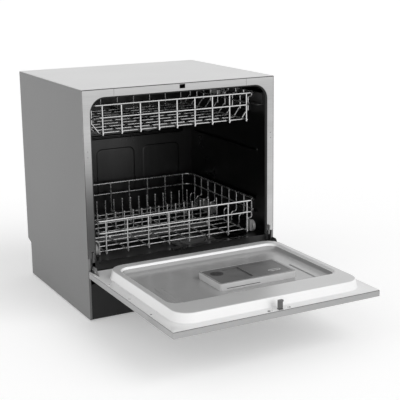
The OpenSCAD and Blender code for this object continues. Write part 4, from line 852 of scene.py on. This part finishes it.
def floor():
    """A pale floor that stays white to the camera and keeps the shadow."""
    size = 40.0
    mesh = bpy.data.meshes.new("floor")
    corners = [(-size, -size, 0), (size, -size, 0), (size, size, 0), (-size, size, 0)]
    mesh.from_pydata(corners, [], [(0, 1, 2, 3)])
    ground = bpy.data.objects.new("floor", mesh)
    bpy.context.scene.collection.objects.link(ground)
    material = bpy.data.materials.new("floor")
    material.use_nodes = True
    nodes, links = material.node_tree.nodes, material.node_tree.links
    shader = nodes["Principled BSDF"]
    shader.inputs["Base Color"].default_value = tone(232)
    shader.inputs["Roughness"].default_value = 0.9
    shader.inputs["Specular IOR Level"].default_value = 0.1
    path = nodes.new("ShaderNodeLightPath")
    seen = nodes.new("ShaderNodeMath")
    seen.operation = "MAXIMUM"
    links.new(path.outputs["Is Camera Ray"], seen.inputs[0])
    links.new(path.outputs["Is Glossy Ray"], seen.inputs[1])
    glow = nodes.new("ShaderNodeMath")
    glow.operation = "MULTIPLY"
    glow.inputs[1].default_value = 0.3
    links.new(seen.outputs[0], glow.inputs[0])
    shader.inputs["Emission Color"].default_value = (1, 1, 1, 1)
    links.new(glow.outputs[0], shader.inputs["Emission Strength"])
    mesh.materials.append(material)


def world():
    """An even pale room: white to the camera and in reflections, a soft ambient light elsewhere."""
    sky = bpy.data.worlds.new("room")
    bpy.context.scene.world = sky
    sky.use_nodes = True
    nodes, links = sky.node_tree.nodes, sky.node_tree.links
    ambient = nodes["Background"]
    ambient.inputs["Color"].default_value = (1, 1, 1, 1)
    ambient.inputs["Strength"].default_value = 0.55
    backdrop = nodes.new("ShaderNodeBackground")
    backdrop.inputs["Color"].default_value = (1, 1, 1, 1)
    backdrop.inputs["Strength"].default_value = 1.0
    path = nodes.new("ShaderNodeLightPath")
    seen = nodes.new("ShaderNodeMath")
    seen.operation = "MAXIMUM"
    links.new(path.outputs["Is Camera Ray"], seen.inputs[0])
    links.new(path.outputs["Is Transmission Ray"], seen.inputs[1])
    either = nodes.new("ShaderNodeMath")
    either.operation = "MAXIMUM"
    links.new(seen.outputs[0], either.inputs[0])
    links.new(path.outputs["Is Glossy Ray"], either.inputs[1])
    mix = nodes.new("ShaderNodeMixShader")
    links.new(either.outputs[0], mix.inputs["Fac"])
    links.new(ambient.outputs[0], mix.inputs[1])
    links.new(backdrop.outputs[0], mix.inputs[2])
    links.new(mix.outputs[0], nodes["World Output"].inputs["Surface"])


def lamp(name, towards, power, softness):
    """A very soft, far lamp that shines along a direction."""
    data = bpy.data.lights.new(name, "SUN")
    data.energy = power
    data.angle = math.radians(softness)
    light = bpy.data.objects.new(name, data)
    bpy.context.scene.collection.objects.link(light)
    light.visible_glossy = False
    light.rotation_euler = Vector(towards).to_track_quat("-Z", "Y").to_euler()


camera()
floor()
world()
lamp("key", (-0.45, 0.65, -0.7), 1.25, 50)
lamp("fill", (0.85, 0.35, -0.45), 0.45, 70)
bpy.context.scene.view_settings.view_transform = "Standard"
